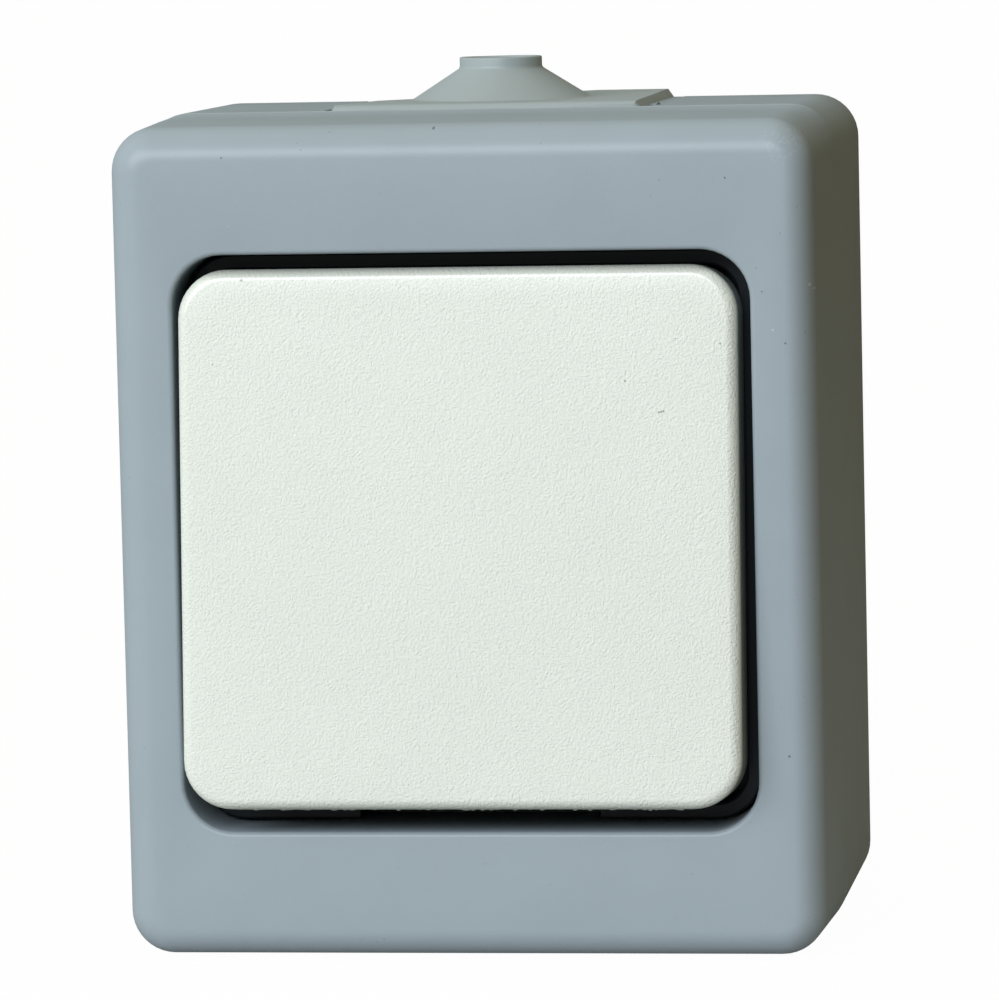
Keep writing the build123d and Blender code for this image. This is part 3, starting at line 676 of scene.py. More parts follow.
def combine_block(obj, name, operation, low, high, *place):
    """Joins a box on, or cuts one out."""
    shape = bmesh.new()
    block(shape, low, high, *place)
    combine(obj, shape, name, operation)


def soften(obj, smooth, width=0):
    """Smooths all but the edges sharper than this angle, and first rounds the sharpest ones a little."""
    if width:
        bevel = obj.modifiers.new("edges", "BEVEL")
        bevel.width = width
        bevel.segments = 2
        bevel.limit_method = "ANGLE"
        bevel.angle_limit = radians(50)
        settle(obj)
    obj.data.polygons.foreach_set("use_smooth", [True] * len(obj.data.polygons))
    obj.data.set_sharp_from_angle(angle=radians(smooth))


# Pieces


class SwitchOperator(bpy.types.Operator):
    """What every step of the switch has in common."""

    bl_options = {"REGISTER", "UNDO"}


class SWITCH_OT_hood(SwitchOperator):
    """Model the hood with its crease, opening, collar and ledge."""

    bl_idname = "switch.hood"
    bl_label = "Hood"

    def execute(self, context):
        s = context.scene.switch_hood
        shape = bmesh.new()
        rows = loft(shape, self.outside(s) + self.inside(s))
        skin(shape, [rows[-1], rows[0]])
        hood = solid(shape, "hood_shell")
        self.add_rails(hood, s)
        self.cut_top(hood, s)
        self.add_flash(hood, s)
        self.add_burr(hood, s)
        self.cut_screw_holes(hood, s)
        soften(hood, 30, 0.1 * MM)
        finish(hood, hood_plastic(s))
        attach(hood, HOUSING)
        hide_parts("hood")
        return {"FINISHED"}

    def sizes(self, s):
        """Width, height and distance from the wall at the back edge, the crease and the front."""
        return (
            (CREASE_WIDTH - s.back_narrower, CREASE_HEIGHT - s.back_lower, 0.0),
            (CREASE_WIDTH, CREASE_HEIGHT, s.crease),
            (CREASE_WIDTH - s.front_narrower, CREASE_HEIGHT - s.front_lower, HOOD_DEPTH),
        )

    def outside(self, s):
        """Rings from the back edge over the crease to the end of the front's rounding."""
        back, crease, front = self.sizes(s)

        def between(start, end, out):
            share = (out - start[2]) / (end[2] - start[2])
            return [a + (b - a) * share for a, b in zip(start[:2], end[:2])]

        back_edge, half = 0.25 * MM, 0.14 * MM
        edge_out = HOOD_DEPTH - s.edge_deep
        middle = (s.crease + edge_out) / 2
        rings = [
            inset_ring(back, back_edge - rise, inset, s.corner - back_edge + rise)
            for inset, rise in quarter_turn(back_edge, 3)
        ]
        rings += [
            inset_ring(between(back, crease, out), 0, out, s.corner)
            for out in (s.crease * 0.35, s.crease * 0.7, s.crease - half, s.crease)
        ]
        rings.append(self.seam_ring(s, s.crease + half))
        rings.append(inset_ring(between(crease, front, middle), 0, middle, s.corner))
        for inset, rise in quarter_turn(s.edge, 12):
            out = edge_out + rise * s.edge_deep / s.edge
            points, out = inset_ring(between(crease, front, edge_out), inset, out, s.corner - inset)
            drift = inset * s.uneven
            rings.append(([(x + drift, z - drift) for x, z in points], out))
        return rings

    def inside(self, s):
        """Rings from the opening's lip over the ledge and the collar to the inner walls."""
        back, crease, front = self.sizes(s)
        opening, aperture = (s.opening, s.opening), (s.aperture, s.aperture)
        ledge_front, inner_front = s.ledge + s.ledge_thick, HOOD_DEPTH - s.front_wall
        collar_corner, inner_corner = s.opening_corner + s.collar_wall, s.corner - s.wall
        lip = [
            inset_ring(opening, rise - s.lip, HOOD_DEPTH - inset, s.opening_corner + s.lip - rise)
            for inset, rise in quarter_turn(s.lip, 4)
        ]
        return lip + [
            inset_ring(opening, 0, ledge_front, s.opening_corner),
            inset_ring(aperture, 0, ledge_front, s.aperture_corner),
            inset_ring(aperture, 0, s.ledge, s.aperture_corner),
            inset_ring(opening, -s.collar_wall, s.ledge, collar_corner),
            inset_ring(opening, -s.collar_wall, inner_front, collar_corner),
            inset_ring(front, s.wall, inner_front, inner_corner),
            inset_ring(crease, s.wall, s.crease, inner_corner),
            inset_ring(back, s.wall, 0, inner_corner),
        ]

    def seam_ring(self, s, out):
        """The ring just before the crease, a hair lower along the top, where the parting line shows."""
        points = []
        for x, z in rounded_outline(CREASE_WIDTH, CREASE_HEIGHT, s.corner):
            top = max(0.0, (z - (CREASE_HEIGHT / 2 - s.corner)) / s.corner)
            points.append((x, z - s.seam * top))
        return points, out

    def add_flash(self, hood, s):
        """Joins on the thin flash that closes the slots beside the grommet towards the back."""
        grommet = bpy.context.scene.switch_grommet
        for side in (-1, 1):
            inner = grommet.shift + side * (grommet.width / 2 + 0.06 * MM)
            outer = side * (s.cut_width / 2 + 0.2 * MM)
            shape = bmesh.new()
            rows = []
            for out, lap in ((s.flash, 0.55), (s.flash - 1.2 * MM, 1.0), (0.4 * MM, 1.0)):
                height = CREASE_HEIGHT / 2 - s.back_lower / 2 * (1 - out / s.crease) - 0.03 * MM
                near = outer + (inner - outer) * lap
                section = (outer, 0), (near, 0), (near, 0.35 * MM), (outer, 0.5 * MM)
                rows.append([shape.verts.new(facing(x, out, height - down)) for x, down in section])
            skin(shape, rows, True)
            combine(hood, shape, "flash", "UNION")

    def add_burr(self, hood, s):
        """Joins on the small burr at the right end of the cut-out."""
        edge, top = s.cut_width / 2, CREASE_HEIGHT / 2
        foot = (-0.1, 2.6), (0.5, 0.0), (-0.35, -0.6)
        shape = bmesh.new()
        low = [shape.verts.new(facing(edge + x * MM, s.flash + out * MM, top - 0.4 * MM)) for x, out in foot]
        tip = shape.verts.new(facing(edge + 0.15 * MM, s.flash + 0.5 * MM, top + 0.3 * MM))
        shape.faces.new(low)
        for i in range(3):
            shape.faces.new((low[i], low[(i + 1) % 3], tip))
        combine(hood, shape, "burr", "UNION")

    def add_rails(self, hood, s):
        """Joins on the two rails under the top wall."""
        inner_top = (CREASE_HEIGHT - s.back_lower) / 2 - s.wall
        start = bpy.context.scene.switch_grommet.flange / 2 + 0.3 * MM
        for left in (-start - s.rail, start):
            low = (left, -s.crease, inner_top - s.rail_height)
            high = (left + s.rail, -0.02 * MM, inner_top + s.wall / 2)
            combine_block(hood, "rail", "UNION", low, high)

    def cut_top(self, hood, s):
        """Cuts the way in for the grommet out of the top wall."""
        half, inside = s.cut_width / 2, s.crease - s.cut_corner
        outline = [(-half, -1 * MM)]
        outline += [(-half + inset, inside + rise) for inset, rise in quarter_turn(s.cut_corner, 6)]
        outline += [(-x, out) for x, out in reversed(outline)]
        shape = bmesh.new()
        levels = CREASE_HEIGHT / 2 - 2.1 * s.wall, CREASE_HEIGHT
        skin(shape, [[shape.verts.new(facing(x, out, up)) for x, out in outline] for up in levels], True)
        combine(hood, shape, "cut_out", "DIFFERENCE")

    def cut_screw_holes(self, hood, s):
        """Drills the two screw holes in the ledge."""
        depth = s.ledge_thick + 2 * MM
        for side in (-1, 1):
            place = facing(side * s.screw_place, s.ledge - 1 * MM, -side * s.screw_place)
            matrix = Matrix.Translation(place) @ Matrix.Rotation(pi / 2, 4, "X")
            shape = bmesh.new()
            spun(shape, [(0, 0), (s.screw_hole, 0), (s.screw_hole, depth), (0, depth)], matrix, 32)
            combine(hood, shape, "drill", "DIFFERENCE")


def hood_plastic(s):
    """Grey plastic with dust specks and scuffs where the photo shows them."""
    board = plastic("hood_plastic", s.tint, s.roughness, grain=0.16 * MM, height=0.012 * MM, cloud=0.03)
    dark, pale = (0.1, 0.11, 0.11), (0.6, 0.64, 0.64)
    front = board.step(-board.y, HOOD_DEPTH - 6 * MM, HOOD_DEPTH - 5 * MM)
    board.paint(board.marks(HOOD_SPECKS) * front * 0.75, dark)
    # scattered dust
    dust = board.step(board.noise(0.5 * MM, 1, 5.0), 0.76, 0.8)
    board.paint(dust * 0.35, dark)
    board.paint(board.marks(HOOD_LIGHT_MARKS) * front * 0.6, pale)
    # the rubbed corner above on the right
    rub = board.spot(29.3 * MM, 35.4 * MM, 1.9 * MM) * board.step(board.noise(0.3 * MM, 3, 2.0), 0.5, 0.66)
    board.paint(rub * front * 0.22, pale)
    # painted highlight along the parting line on the top, where the light catches it
    line = board.step(abs(board.y + s.crease + 0.05 * MM), 0.4 * MM, 0.05 * MM)
    top = board.step(board.z, CREASE_HEIGHT / 2 - 0.9 * MM, CREASE_HEIGHT / 2 - 0.2 * MM)
    board.paint(line * top * (0.1 + board.noise(2 * MM, 2, 9.0) * 0.35), pale)
    return board.material


class SWITCH_OT_key(SwitchOperator):
    """Model the key with its soft edge, skirt, ribs and clips."""

    bl_idname = "switch.key"
    bl_label = "Key"

    def execute(self, context):
        s = context.scene.switch_key
        lean_sin, lean_cos = sin(s.tilt), cos(s.tilt)

        def tilted(x, out, up):
            return KEY_PIVOT + Vector((x, up * lean_sin - out * lean_cos, up * lean_cos + out * lean_sin))

        under = s.face - s.top_wall
        key = self.make_cap(s, tilted, under)
        self.add_fixings(key, s, tilted, under)
        self.add_flash(key, s, tilted)
        soften(key, 40)
        finish(key, key_plastic(s))
        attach(key, KEY_BODY)
        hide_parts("key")
        return {"FINISHED"}

    def make_cap(self, s, tilted, under):
        """The face with its soft edge and the skirt, open at the back."""
        size = (s.width, s.height)

        def ring(inset, out):
            return inset_ring(size, inset, out, s.corner - inset, 10)

        skirt, back_edge, steps = s.face - s.depth, 0.15 * MM, 14
        rings = [ring(back_edge, skirt), ring(0, skirt + back_edge), ring(0, (skirt + s.face) / 2)]
        rings += [ring(inset, s.face - s.edge + rise) for inset, rise in quarter_turn(s.edge, 8)]
        # the face, in rings that shrink towards the middle and rise to the crown
        flat = (s.width - 2 * s.edge, s.height - 2 * s.edge, s.corner - s.edge)
        for step in range(1, steps):
            share = 1 - step / steps
            points = rounded_outline(*[part * share for part in flat], 10)
            rings.append((points, s.face + s.crown * (1 - share * share)))
        shape = bmesh.new()
        rows = loft(shape, rings, tilted)
        inner = loft(shape, [ring(s.side_wall, skirt), ring(s.side_wall, under)], tilted)
        shape.faces.new(rows[-1])
        shape.faces.new(inner[-1])
        skin(shape, [rows[0], inner[0]])
        return solid(shape, "key_cap")

    def add_flash(self, key, s, tilted):
        """Joins on the ragged flash under the lower edge."""
        chance = Random(4)
        count = 150
        start, end = -s.width / 2 + s.corner * 1.1, s.width / 2 - s.corner * 1.2
        near, far = s.face - s.edge - 0.05 * MM, s.face - s.edge - 0.2 * MM
        high = -s.height / 2 + 0.1 * MM
        shape = bmesh.new()
        rows = []
        for step in range(count):
            x = start + (end - start) * step / (count - 1)
            low = -s.height / 2 - 0.02 * MM - s.flash * chance.random() ** 5
            section = (near, high), (near, low), (far, low), (far, high)
            rows.append([shape.verts.new(tilted(x, out, up)) for out, up in section])
        skin(shape, rows, True)
        combine(key, shape, "key_flash", "UNION")

    def add_fixings(self, key, s, tilted, under):
        """Joins on the ribs and the clips under the face."""
        sink, rib, half = 0.3 * MM, 0.5 * MM, s.clip_width / 2
        reach = s.height / 2 - s.side_wall + sink
        hold = s.carrier_height / 2 + 0.05 * MM
        back, tooth_front = s.carrier_under - 0.65 * MM, s.carrier_under - 0.05 * MM
        for side in (-1, 1):
            middle = side * s.rib_place
            clip = sorted((side * hold, side * (hold + s.clip_thick)))
            tooth = sorted((side * (hold - 0.6 * MM), side * (hold + s.clip_thick / 2)))
            for name, low, high in (
                ("rib", (middle - rib, under - 2 * MM, -reach), (middle + rib, under + sink, reach)),
                ("clip", (-half, back, clip[0]), (half, under + sink, clip[1])),
                ("tooth", (-half, back, tooth[0]), (half, tooth_front, tooth[1])),
            ):
                combine_block(key, name, "UNION", low, high, tilted)


def key_plastic(s):
    """Off-white plastic with an eroded grain, a few specks and painted shade towards the gap."""
    board = plastic("key_plastic", s.tint, 0.46, s.grain, s.grain_height, cloud=0.02, seed=7.0, shine=0)
    y, z = board.y - KEY_PIVOT.y, board.z - KEY_PIVOT.z
    up = y * sin(s.tilt) + z * cos(s.tilt)
    out = z * sin(s.tilt) - y * cos(s.tilt)
    # painted shade darkens the colour towards the gap, where the light doesn't reach: over the edges above and below,
    # down the skirt, and on the ragged flash; the gloss fades there too
    high, low = s.height / 2, -s.height / 2
    top = board.step(up, high - 0.95 * MM, high + 0.1 * MM, 1.0, 0.28, "LINEAR")
    skirt = board.step(out, s.face - 0.5 * MM, s.face - 1.7 * MM, 1.0, 0.3)
    bottom = board.step(up, low + 0.85 * MM, low + 0.05 * MM, 1.0, 0.66, "LINEAR")
    ragged = board.step(up, low - 0.01 * MM, low - 0.05 * MM, 1.0, 0.5)
    clear = top.below(skirt).below(bottom).below(ragged)
    # the near-black colour laid on as painted shade
    painted_shade = (0.02, 0.024, 0.03)
    board.paint(1 - clear, painted_shade)
    board.sheen(0.07 * board.step(clear, 0.5, 1.0), 0.24)
    front = board.step(out, s.face - s.edge, s.face - s.edge / 2)
    board.paint(board.marks(KEY_SPECKS) * front * 0.7, (0.16, 0.17, 0.14))
    return board.material


class SWITCH_OT_grommet(SwitchOperator):
    """Model the cable grommet: a slide-in plate with a stepped cone."""

    bl_idname = "switch.grommet"
    bl_label = "Cable grommet"

    def execute(self, context):
        s = context.scene.switch_grommet
        seat = Matrix.Translation((s.shift, -s.inlet, s.seat))
        gap = 0.3 * MM
        near, far = s.inlet + gap - context.scene.switch_hood.crease, s.inlet - gap
        low = -s.below - s.flange_thick
        plate = self.make_plate(s, seat, near, far, low)
        sliver = 0.01 * MM
        combine_block(
            plate, "flange", "UNION", (-s.flange / 2, near + sliver, low + sliver),
            (s.flange / 2, s.inlet - s.tray_room, low + s.flange_thick), lambda *corner: seat @ Vector(corner),
        )
        for name, profile, operation in (
            ("cone", self.cone(s), "UNION"),
            ("hole", self.hole(s, low), "DIFFERENCE"),
        ):
            shape = bmesh.new()
            spun(shape, profile, seat)
            combine(plate, shape, name, operation)
        self.sink_corner(plate, s, far)
        soften(plate, 32)
        soft = plastic("grommet_plastic", s.tint, 0.5, grain=0.2 * MM, height=0.005 * MM, cloud=0.03, seed=11.0)
        finish(plate, soft.material)
        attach(plate, HOUSING)
        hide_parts("cable_grommet")
        return {"FINISHED"}

    def make_plate(self, s, seat, near, far, low):
        """The plate with its sloping ends and rounded front edge, cut in strips so that it can sag."""
        half, top = s.width / 2, s.proud - s.bevel_height
        side = [(half, low), (half, top), (half - s.bevel_width, s.proud)]
        outline = [(-x, z) for x, z in side] + side[::-1]
        shape = bmesh.new()
        front, back = [[shape.verts.new(seat @ Vector((x, y, z))) for x, z in outline] for y in (near, far)]
        skin(shape, [front, back], True)
        top_front = [edge for edge in shape.edges if all(vert in front[1:5] for vert in edge.verts)]
        bmesh.ops.bevel(shape, geom=top_front, offset=s.front_edge, segments=5, profile=0.5, affect="EDGES")
        for x in (-10, -5, 0, 7):
            everything = shape.verts[:] + shape.edges[:] + shape.faces[:]
            bmesh.ops.bisect_plane(shape, geom=everything, plane_co=(x * MM, 0, 0), plane_no=(1, 0, 0))
        return solid(shape, "grommet")

    def cone(self, s):
        """The profile of the cone and the nipple, with soft bends between them."""
        top = s.proud + s.cone_height
        height = top + s.nipple_height
        foot, rim = 0.25 * MM, 0.15 * MM
        slope = atan2(s.cone_height, s.cone_radius - s.nipple_radius)
        slant = Vector((-cos(slope), sin(slope))) * foot
        start, end = Vector((s.cone_radius, s.proud)), Vector((s.nipple_radius, top))
        profile = [(0, -foot), (s.cone_radius + foot, -foot), (s.cone_radius + foot, s.proud - foot / 4)]
        for first, corner, last in (
            (start + Vector((foot, 0)), start, start + slant),
            (end - slant, end, end + Vector((0, foot))),
        ):
            for step in range(5):
                share = step / 4
                profile.append(first.lerp(corner, share).lerp(corner.lerp(last, share), share)[:])
        profile += [(s.nipple_radius - inset, height - rim + rise) for inset, rise in quarter_turn(rim, 4)]
        return profile + [(0, height)]

    def hole(self, s, low):
        """The profile of the cable hole and the hollow under the cone."""
        height = s.proud + s.cone_height + s.nipple_height
        rim = 0.15 * MM
        return [
            (0, low - 1 * MM), (s.mouth_radius, low - 1 * MM), (s.mouth_radius, -s.proud),
            (s.hole_radius, height - s.hole_length), (s.hole_radius, height - rim),
            (s.hole_radius + rim, height + 0.01 * MM), (s.hole_radius + rim, height + 1 * MM), (0, height + 1 * MM),
        ]

    def sink_corner(self, plate, s, far):
        """Lets the plate's back corner on the left sink a little."""
        def share(value):
            return min(1.0, max(0.0, value))

        start, skin_depth = 7 * MM, 1.5 * MM
        for vert in plate.data.vertices:
            left = share((start - vert.co.x) / (s.width / 2 + start))
            behind = share((vert.co.y + s.inlet) / far)
            above = share((vert.co.z - s.seat + skin_depth) / skin_depth)
            vert.co.z -= s.sag * left * behind * above


class SWITCH_OT_collar(SwitchOperator):
    """Model the dark splash collar round the key and finish the seals."""

    bl_idname = "switch.collar"
    bl_label = "Splash collar"

    def execute(self, context):
        s = context.scene.switch_collar
        hood = context.scene.switch_hood
        width = COLLAR_HIGH.x - COLLAR_LOW.x
        low, high = -COLLAR_HIGH.y, -COLLAR_LOW.y
        edge = 0.2 * MM
        rings = [
            inset_ring((width, width), inset, out, s.corner - inset) for inset, out in (
                (0, low), (0, high - edge), (edge, high), (s.wall - edge, high), (s.wall, high - edge),
                (s.wall, low + s.flange),
            )
        ]
        aperture = rounded_outline(hood.aperture, hood.aperture, hood.aperture_corner)
        rings += [(aperture, low + s.flange), (aperture, low)]
        shape = bmesh.new()
        rows = loft(shape, rings)
        skin(shape, [rows[-1], rows[0]])
        collar = solid(shape, "collar_frame")
        combine_block(
            collar, "gap", "DIFFERENCE", (-s.gap_width / 2, -high - 1 * MM, -width / 2 - 1 * MM),
            (s.gap_width / 2, -s.gap_floor, -width / 2 + s.wall + 0.4 * MM),
        )
        soften(collar, 30)
        dark = plastic(
            "dark_plastic", s.tint, 0.5, grain=0.2 * MM, height=0.008 * MM, cloud=0.1, seed=15.0, shine=0.01,
        )
        finish(collar, dark.material)
        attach(collar, HOUSING)
        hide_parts("splash_collar")
        rubber = plastic("seal_rubber", s.seal_tint, 0.62, grain=0.3 * MM, height=0.02 * MM, cloud=0.2, seed=19.0)
        for name in ("rim_seal", "screw_washers"):
            finish_node(name, rubber.material)
        return {"FINISHED"}


class SWITCH_OT_insert(SwitchOperator):
    """Finish the tray and the pieces of the insert."""

    bl_idname = "switch.insert"
    bl_label = "Tray and insert"

    def execute(self, context):
        s = context.scene.switch_insert
        tray = plastic("tray_plastic", s.tray_tint, 0.5, grain=0.2 * MM, height=0.01 * MM, cloud=0.05, seed=23.0)
        socket = plastic("socket_plastic", s.socket_tint, 0.28, grain=0.25 * MM, height=0.006 * MM, cloud=0.06, seed=27.0)
        cover = plastic("cover_plastic", s.cover_tint, 0.48, grain=0.2 * MM, height=0.01 * MM, cloud=0.1, seed=31.0)
        for board, names in (
            (tray, ["base_tray"]),
            (socket, ["socket"]),
            (cover, ["socket_cover", "carrier"]),
            (metal("zinc_plate", s.zinc_tint, 0.34, 2.0), ["bridge", "lever_pin"]),
            (metal("brass", s.brass_tint, 0.3, 6.0), ["common_block", "switched_block", "earth_block"]),
            (metal("bronze", s.bronze_tint, 0.32, 8.0), ["common_strip", "switched_strip", "contact_lever"]),
            (metal("silver", s.silver_tint, 0.36, 9.0), ["moving_contact", "fixed_contact"]),
        ):
            for name in names:
                finish_node(name, board.material)
        return {"FINISHED"}


class SWITCH_OT_fixings(SwitchOperator):
    """Make the slotted screws and the rivets."""

    bl_idname = "switch.fixings"
    bl_label = "Screws and rivets"

    def execute(self, context):
        s = context.scene.switch_insert
        zinc = metal("screw_zinc", s.zinc_tint, 0.3, 3.0).material
        for name, head in (
            ("terminal_screws", s.small_head), ("earth_screw", s.small_head),
            ("insert_screws", s.pan_head), ("hood_screws", s.pan_head),
        ):
            self.make_screws(name, head, s, zinc)
        self.make_rivets(s, metal("rivet_brass", s.brass_tint, 0.3, 5.0).material)
        return {"FINISHED"}

    def place(self, name, head, rises):
        """Seats of the first and the second in a node's box, and how far the shank reaches behind them."""
        low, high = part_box(name)
        ups = (low.z + head, high.z - head)
        first = Vector((low.x + head, low.y, ups[0 if rises else 1]))
        second = Vector((high.x - head, low.y, ups[1 if rises else 0]))
        return first, second - first, high.y - low.y

    def make_screws(self, name, head, s, material):
        """Slotted pan-head screws with a thread."""
        first, step, depth = self.place(name, head, False)
        recipe = Recipe(name)
        radius = recipe.size("Head radius", head)
        height = recipe.size("Head height", s.head_height)
        width = recipe.size("Slot width", s.slot_width)
        deep = recipe.size("Slot depth", s.slot_deep)
        core = recipe.size("Core radius", s.thread - s.pitch * 0.35)
        long = recipe.size("Shank length", depth - s.head_height)
        pitch = recipe.size("Pitch", s.pitch)
        start = recipe.size("First place", first + Vector((0, s.head_height, 0)))
        apart = recipe.size("Step", step)
        count = recipe.size("Count", 2 if step.length > head else 1)
        slot = recipe.node("GeometryNodeMeshCube", inputs={"Size": recipe.join(radius * 2.4, width, deep * 2)})
        top = recipe.node("GeometryNodeMeshBoolean", {"operation": "DIFFERENCE"}, {
            0: recipe.button(radius, height), 1: recipe.moved(slot, recipe.join(0.0, 0.0, height)),
        })
        shank = recipe.rod(core, long - pitch * 0.3, pitch * 0.2)
        thread = recipe.coil(core, (long - pitch) / pitch, long - pitch, pitch * 0.35, 16, 3)
        thread = recipe.moved(thread, recipe.join(0.0, 0.0, pitch * 0.5 - long))
        screw = recipe.together(top, shank, thread)
        obj = recipe.make("slotted_" + name, recipe.repeat(screw, start, apart, count, 1.1), material)
        self.seat(obj, name, "zinc_steel")

    def make_rivets(self, s, material):
        """Rivets with a low round head at each end."""
        name = "insert_rivets"
        first, step, depth = self.place(name, s.rivet_head, True)
        recipe = Recipe(name)
        radius = recipe.size("Head radius", s.rivet_head)
        height = recipe.size("Head height", s.rivet_height)
        long = recipe.size("Length", depth)
        start = recipe.size("First place", first)
        apart = recipe.size("Step", step)
        head = recipe.moved(recipe.button(radius, height), recipe.join(0.0, 0.0, height * -1.0))
        tail = recipe.moved(recipe.button(radius, height), recipe.join(0.0, 0.0, height - long), (pi, 0, 0))
        shank = recipe.rod(recipe.size("Shank radius", s.rivet), long - height, height * -0.5)
        rivet = recipe.together(head, tail, shank)
        obj = recipe.make("round_" + name, recipe.repeat(rivet, start, apart, 2), material)
        self.seat(obj, name, "brass")

    def seat(self, obj, name, finish_slot):
        """Lets a set of fixings stand for its CAD node."""
        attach(obj, HOUSING)
        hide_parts(name)


class SWITCH_OT_springs(SwitchOperator):
    """Wind the return spring and the contact spring."""

    bl_idname = "switch.springs"
    bl_label = "Springs"

    def execute(self, context):
        s = context.scene.switch_insert
        material = metal("spring_wire", s.zinc_tint, 0.3, 4.0).material
        self.wind("return_spring", s.spring, s.spring_wire, s.spring_turns, "key_press", material)
        self.wind("contact_spring", s.small_spring, s.small_wire, s.small_turns, "lever_swing", material)
        return {"FINISHED"}

    def wind(self, name, radius, wire, turns, joint, material):
        """A compression spring at its length at rest; how far it would shorten as its joint moves is worked out but not
        used.
        """
        low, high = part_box(name)
        middle = (low + high) / 2
        length_now = high.y - low.y
        recipe = Recipe(name)
        coil = recipe.coil(
            recipe.size("Radius", radius), recipe.size("Turns", turns),
            recipe.size("Height", length_now - 2 * wire), recipe.size("Wire radius", wire), 32, 10,
        )
        start = recipe.size("Place", Vector((middle.x, high.y - wire, middle.z)))
        obj = recipe.make("wound_" + name, recipe.repeat(coil, start, (0, 0, 0), 1), material)
        motion = JOINTS[joint]
        travel = abs(middle.z - motion["pos_m"][2]) * sin(radians(max(motion["range_deg"])))
        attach(obj, HOUSING)
        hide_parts(name)
        1 - travel / length_now
        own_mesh(obj)


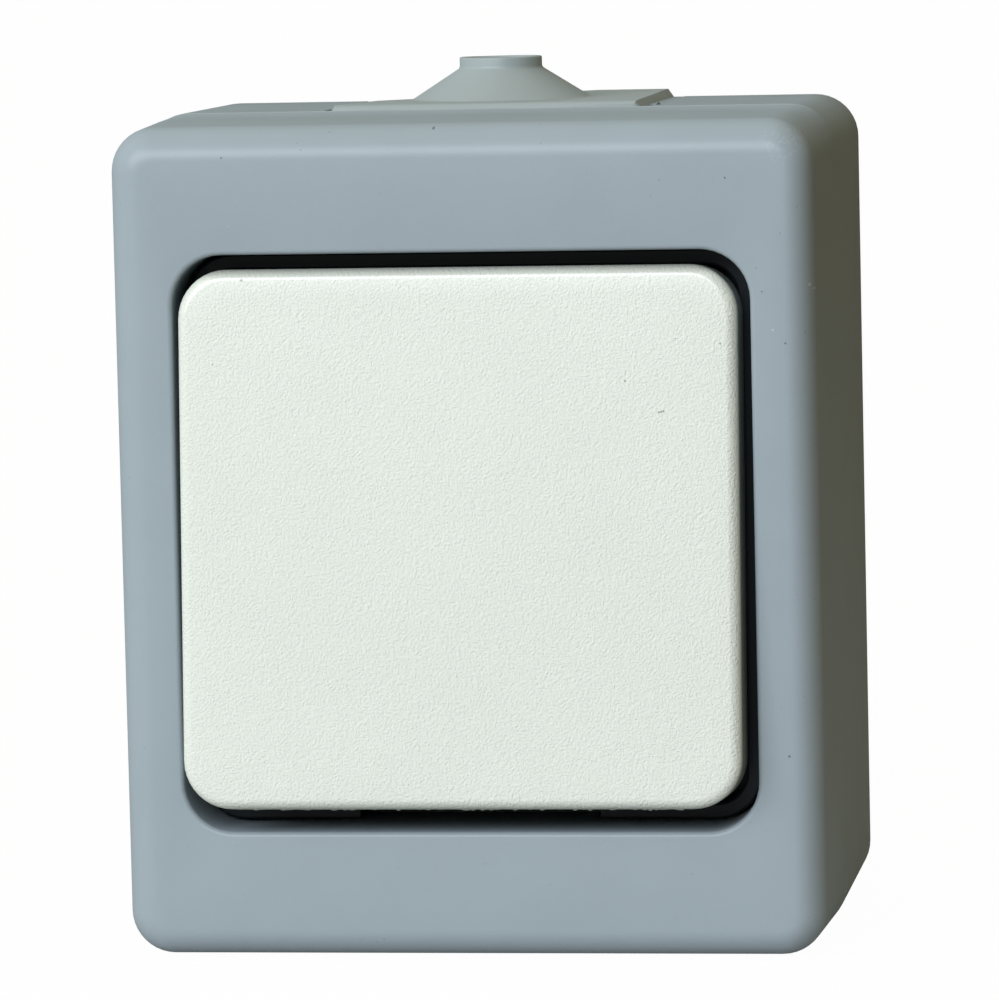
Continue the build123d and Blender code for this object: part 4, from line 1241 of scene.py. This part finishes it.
class SWITCH_OT_stage(SwitchOperator):
    """Set up the floor, the soft lamp, the cards and the camera."""

    bl_idname = "switch.stage"
    bl_label = "Stage"

    def execute(self, context):
        s = context.scene.switch_stage
        self.make_floor()
        self.make_world(s)
        self.make_card("dark_card", -2.6, -0.3, (0.07, 0.07, 0.06))
        self.make_card("warm_card", -0.3, 0.9, (0.36, 0.27, 0.1))
        self.make_lamp(s, Vector((0, -HOOD_DEPTH / 2, 0)), Vector((-0.66, -1.63, 0.8)))
        self.make_camera(s)
        context.scene.view_settings.view_transform = "Standard"
        return {"FINISHED"}

    def make_floor(self):
        """A pale sweep: level under the switch, then up behind it."""
        ground = HOOD_LOW.z
        bend, back, side = 0.6, 1.6, 3.0
        profile = [(-side, ground), (back, ground)]
        for step in range(1, 13):
            turn = step / 12 * pi / 2
            profile.append((back + bend * sin(turn), ground + bend * (1 - cos(turn))))
        profile.append((back + bend, ground + 2.4))
        shape = bmesh.new()
        left, right = [[shape.verts.new((x, y, z)) for y, z in profile] for x in (-side, side)]
        for i in range(len(profile) - 1):
            shape.faces.new((left[i], right[i], right[i + 1], left[i + 1]))
        floor = put_in("floor", shape)
        soften(floor, 180)
        board = dull("floor", 0.9)
        glow = board.node("ShaderNodeEmission", inputs={"Color": WHITE, "Strength": 1.0})
        seen = board.rays("Camera", "Glossy", "Transmission")
        cast = board.blend(board.step(board.x, 0.03, 0.12), (0.45, 0.45, 0.44, 1), (0.1, 0.085, 0.06, 1))
        board.set("Base Color", board.blend(seen, cast, (0.92, 0.92, 0.92, 1)))
        board.mix(seen * 0.98, glow)
        finish(floor, board.material)

    def make_card(self, name, start, end, rgb):
        """A dim card out of the picture, which keeps the light off the right side."""
        shape = bmesh.new()
        block(shape, (0.45, start, HOOD_LOW.z), (0.47, end, 1.1))
        card = solid(shape, name)
        board = dull(name, 1.0)
        board.set("Base Color", opaque(rgb))
        finish(card, board.material)
        card.visible_camera = False

    def make_world(self, s):
        """Even light from all round, and plain white where the camera looks."""
        world = bpy.data.worlds.new("studio")
        bpy.context.scene.world = world
        world.use_nodes = True
        sky = Nodes(world.node_tree)
        seen = sky.rays("Camera", "Glossy")
        strength = sky.node(
            "ShaderNodeMapRange", inputs={"Value": seen, "To Min": s.ambient, "To Max": 1.0}, out="Result",
        )
        light = sky.tree.nodes["Background"].inputs
        light["Color"].default_value = (1.04, 1.0, 0.86, 1)
        sky.tree.links.new(strength.socket, light["Strength"])

    def make_lamp(self, s, aim, offset):
        """A wide soft lamp that points at the switch."""
        data = bpy.data.lights.new("key_lamp", "AREA")
        data.energy = s.key_lamp
        data.color = (0.98, 1.0, 1.09)
        data.shape = "RECTANGLE"
        data.size, data.size_y = 2.0, 0.75
        self.aim_at(data, aim + offset, (-offset).to_track_quat("-Z", "Y"))

    def make_camera(self, s):
        """The camera of the photo."""
        data = bpy.data.cameras.new("camera")
        data.lens = s.lens
        data.sensor_width = 36
        data.clip_start = 0.01
        data.clip_end = 20
        back = Vector((
            sin(s.azimuth) * cos(s.elevation), -cos(s.azimuth) * cos(s.elevation), sin(s.elevation),
        ))
        turn = (-back).to_track_quat("-Z", "Y") @ Quaternion((0, 0, 1), s.roll)
        bpy.context.scene.camera = self.aim_at(data, Vector(s.aim) + back * s.distance, turn)

    def aim_at(self, data, place, turn):
        """Puts a lamp or a camera in its place."""
        obj = bpy.data.objects.new(data.name, data)
        bpy.context.scene.collection.objects.link(obj)
        obj.location = place
        obj.rotation_mode = "QUATERNION"
        obj.rotation_quaternion = turn
        return obj


OPERATORS = [
    SWITCH_OT_hood,
    SWITCH_OT_key,
    SWITCH_OT_grommet,
    SWITCH_OT_collar,
    SWITCH_OT_insert,
    SWITCH_OT_fixings,
    SWITCH_OT_springs,
    SWITCH_OT_stage,
]


class SWITCH_PT_panel(bpy.types.Panel):
    """The steps of the switch and their settings."""

    bl_label = "Pushbutton switch"
    bl_idname = "SWITCH_PT_panel"
    bl_space_type = "VIEW_3D"
    bl_region_type = "UI"
    bl_category = "Switch"

    def draw(self, context):
        for operator in OPERATORS:
            self.layout.operator(operator.bl_idname)
        for name, group in SETTINGS.items():
            box = self.layout.box()
            settings = getattr(context.scene, name)
            for field in group.__annotations__:
                box.prop(settings, field)


def register():
    """Makes the settings, the steps and the panel known."""
    for name, group in SETTINGS.items():
        bpy.utils.register_class(group)
        setattr(bpy.types.Scene, name, bpy.props.PointerProperty(type=group))
    for operator in OPERATORS:
        bpy.utils.register_class(operator)
    bpy.utils.register_class(SWITCH_PT_panel)


def unregister():
    """Takes them away again."""
    bpy.utils.unregister_class(SWITCH_PT_panel)
    for operator in reversed(OPERATORS):
        bpy.utils.unregister_class(operator)
    for name, group in reversed(SETTINGS.items()):
        delattr(bpy.types.Scene, name)
        bpy.utils.unregister_class(group)


def main():
    """Makes every piece in order."""
    register()
    for operator in OPERATORS:
        group, step = operator.bl_idname.split(".")
        getattr(getattr(bpy.ops, group), step)()


if __name__ == "__main__":
    main()
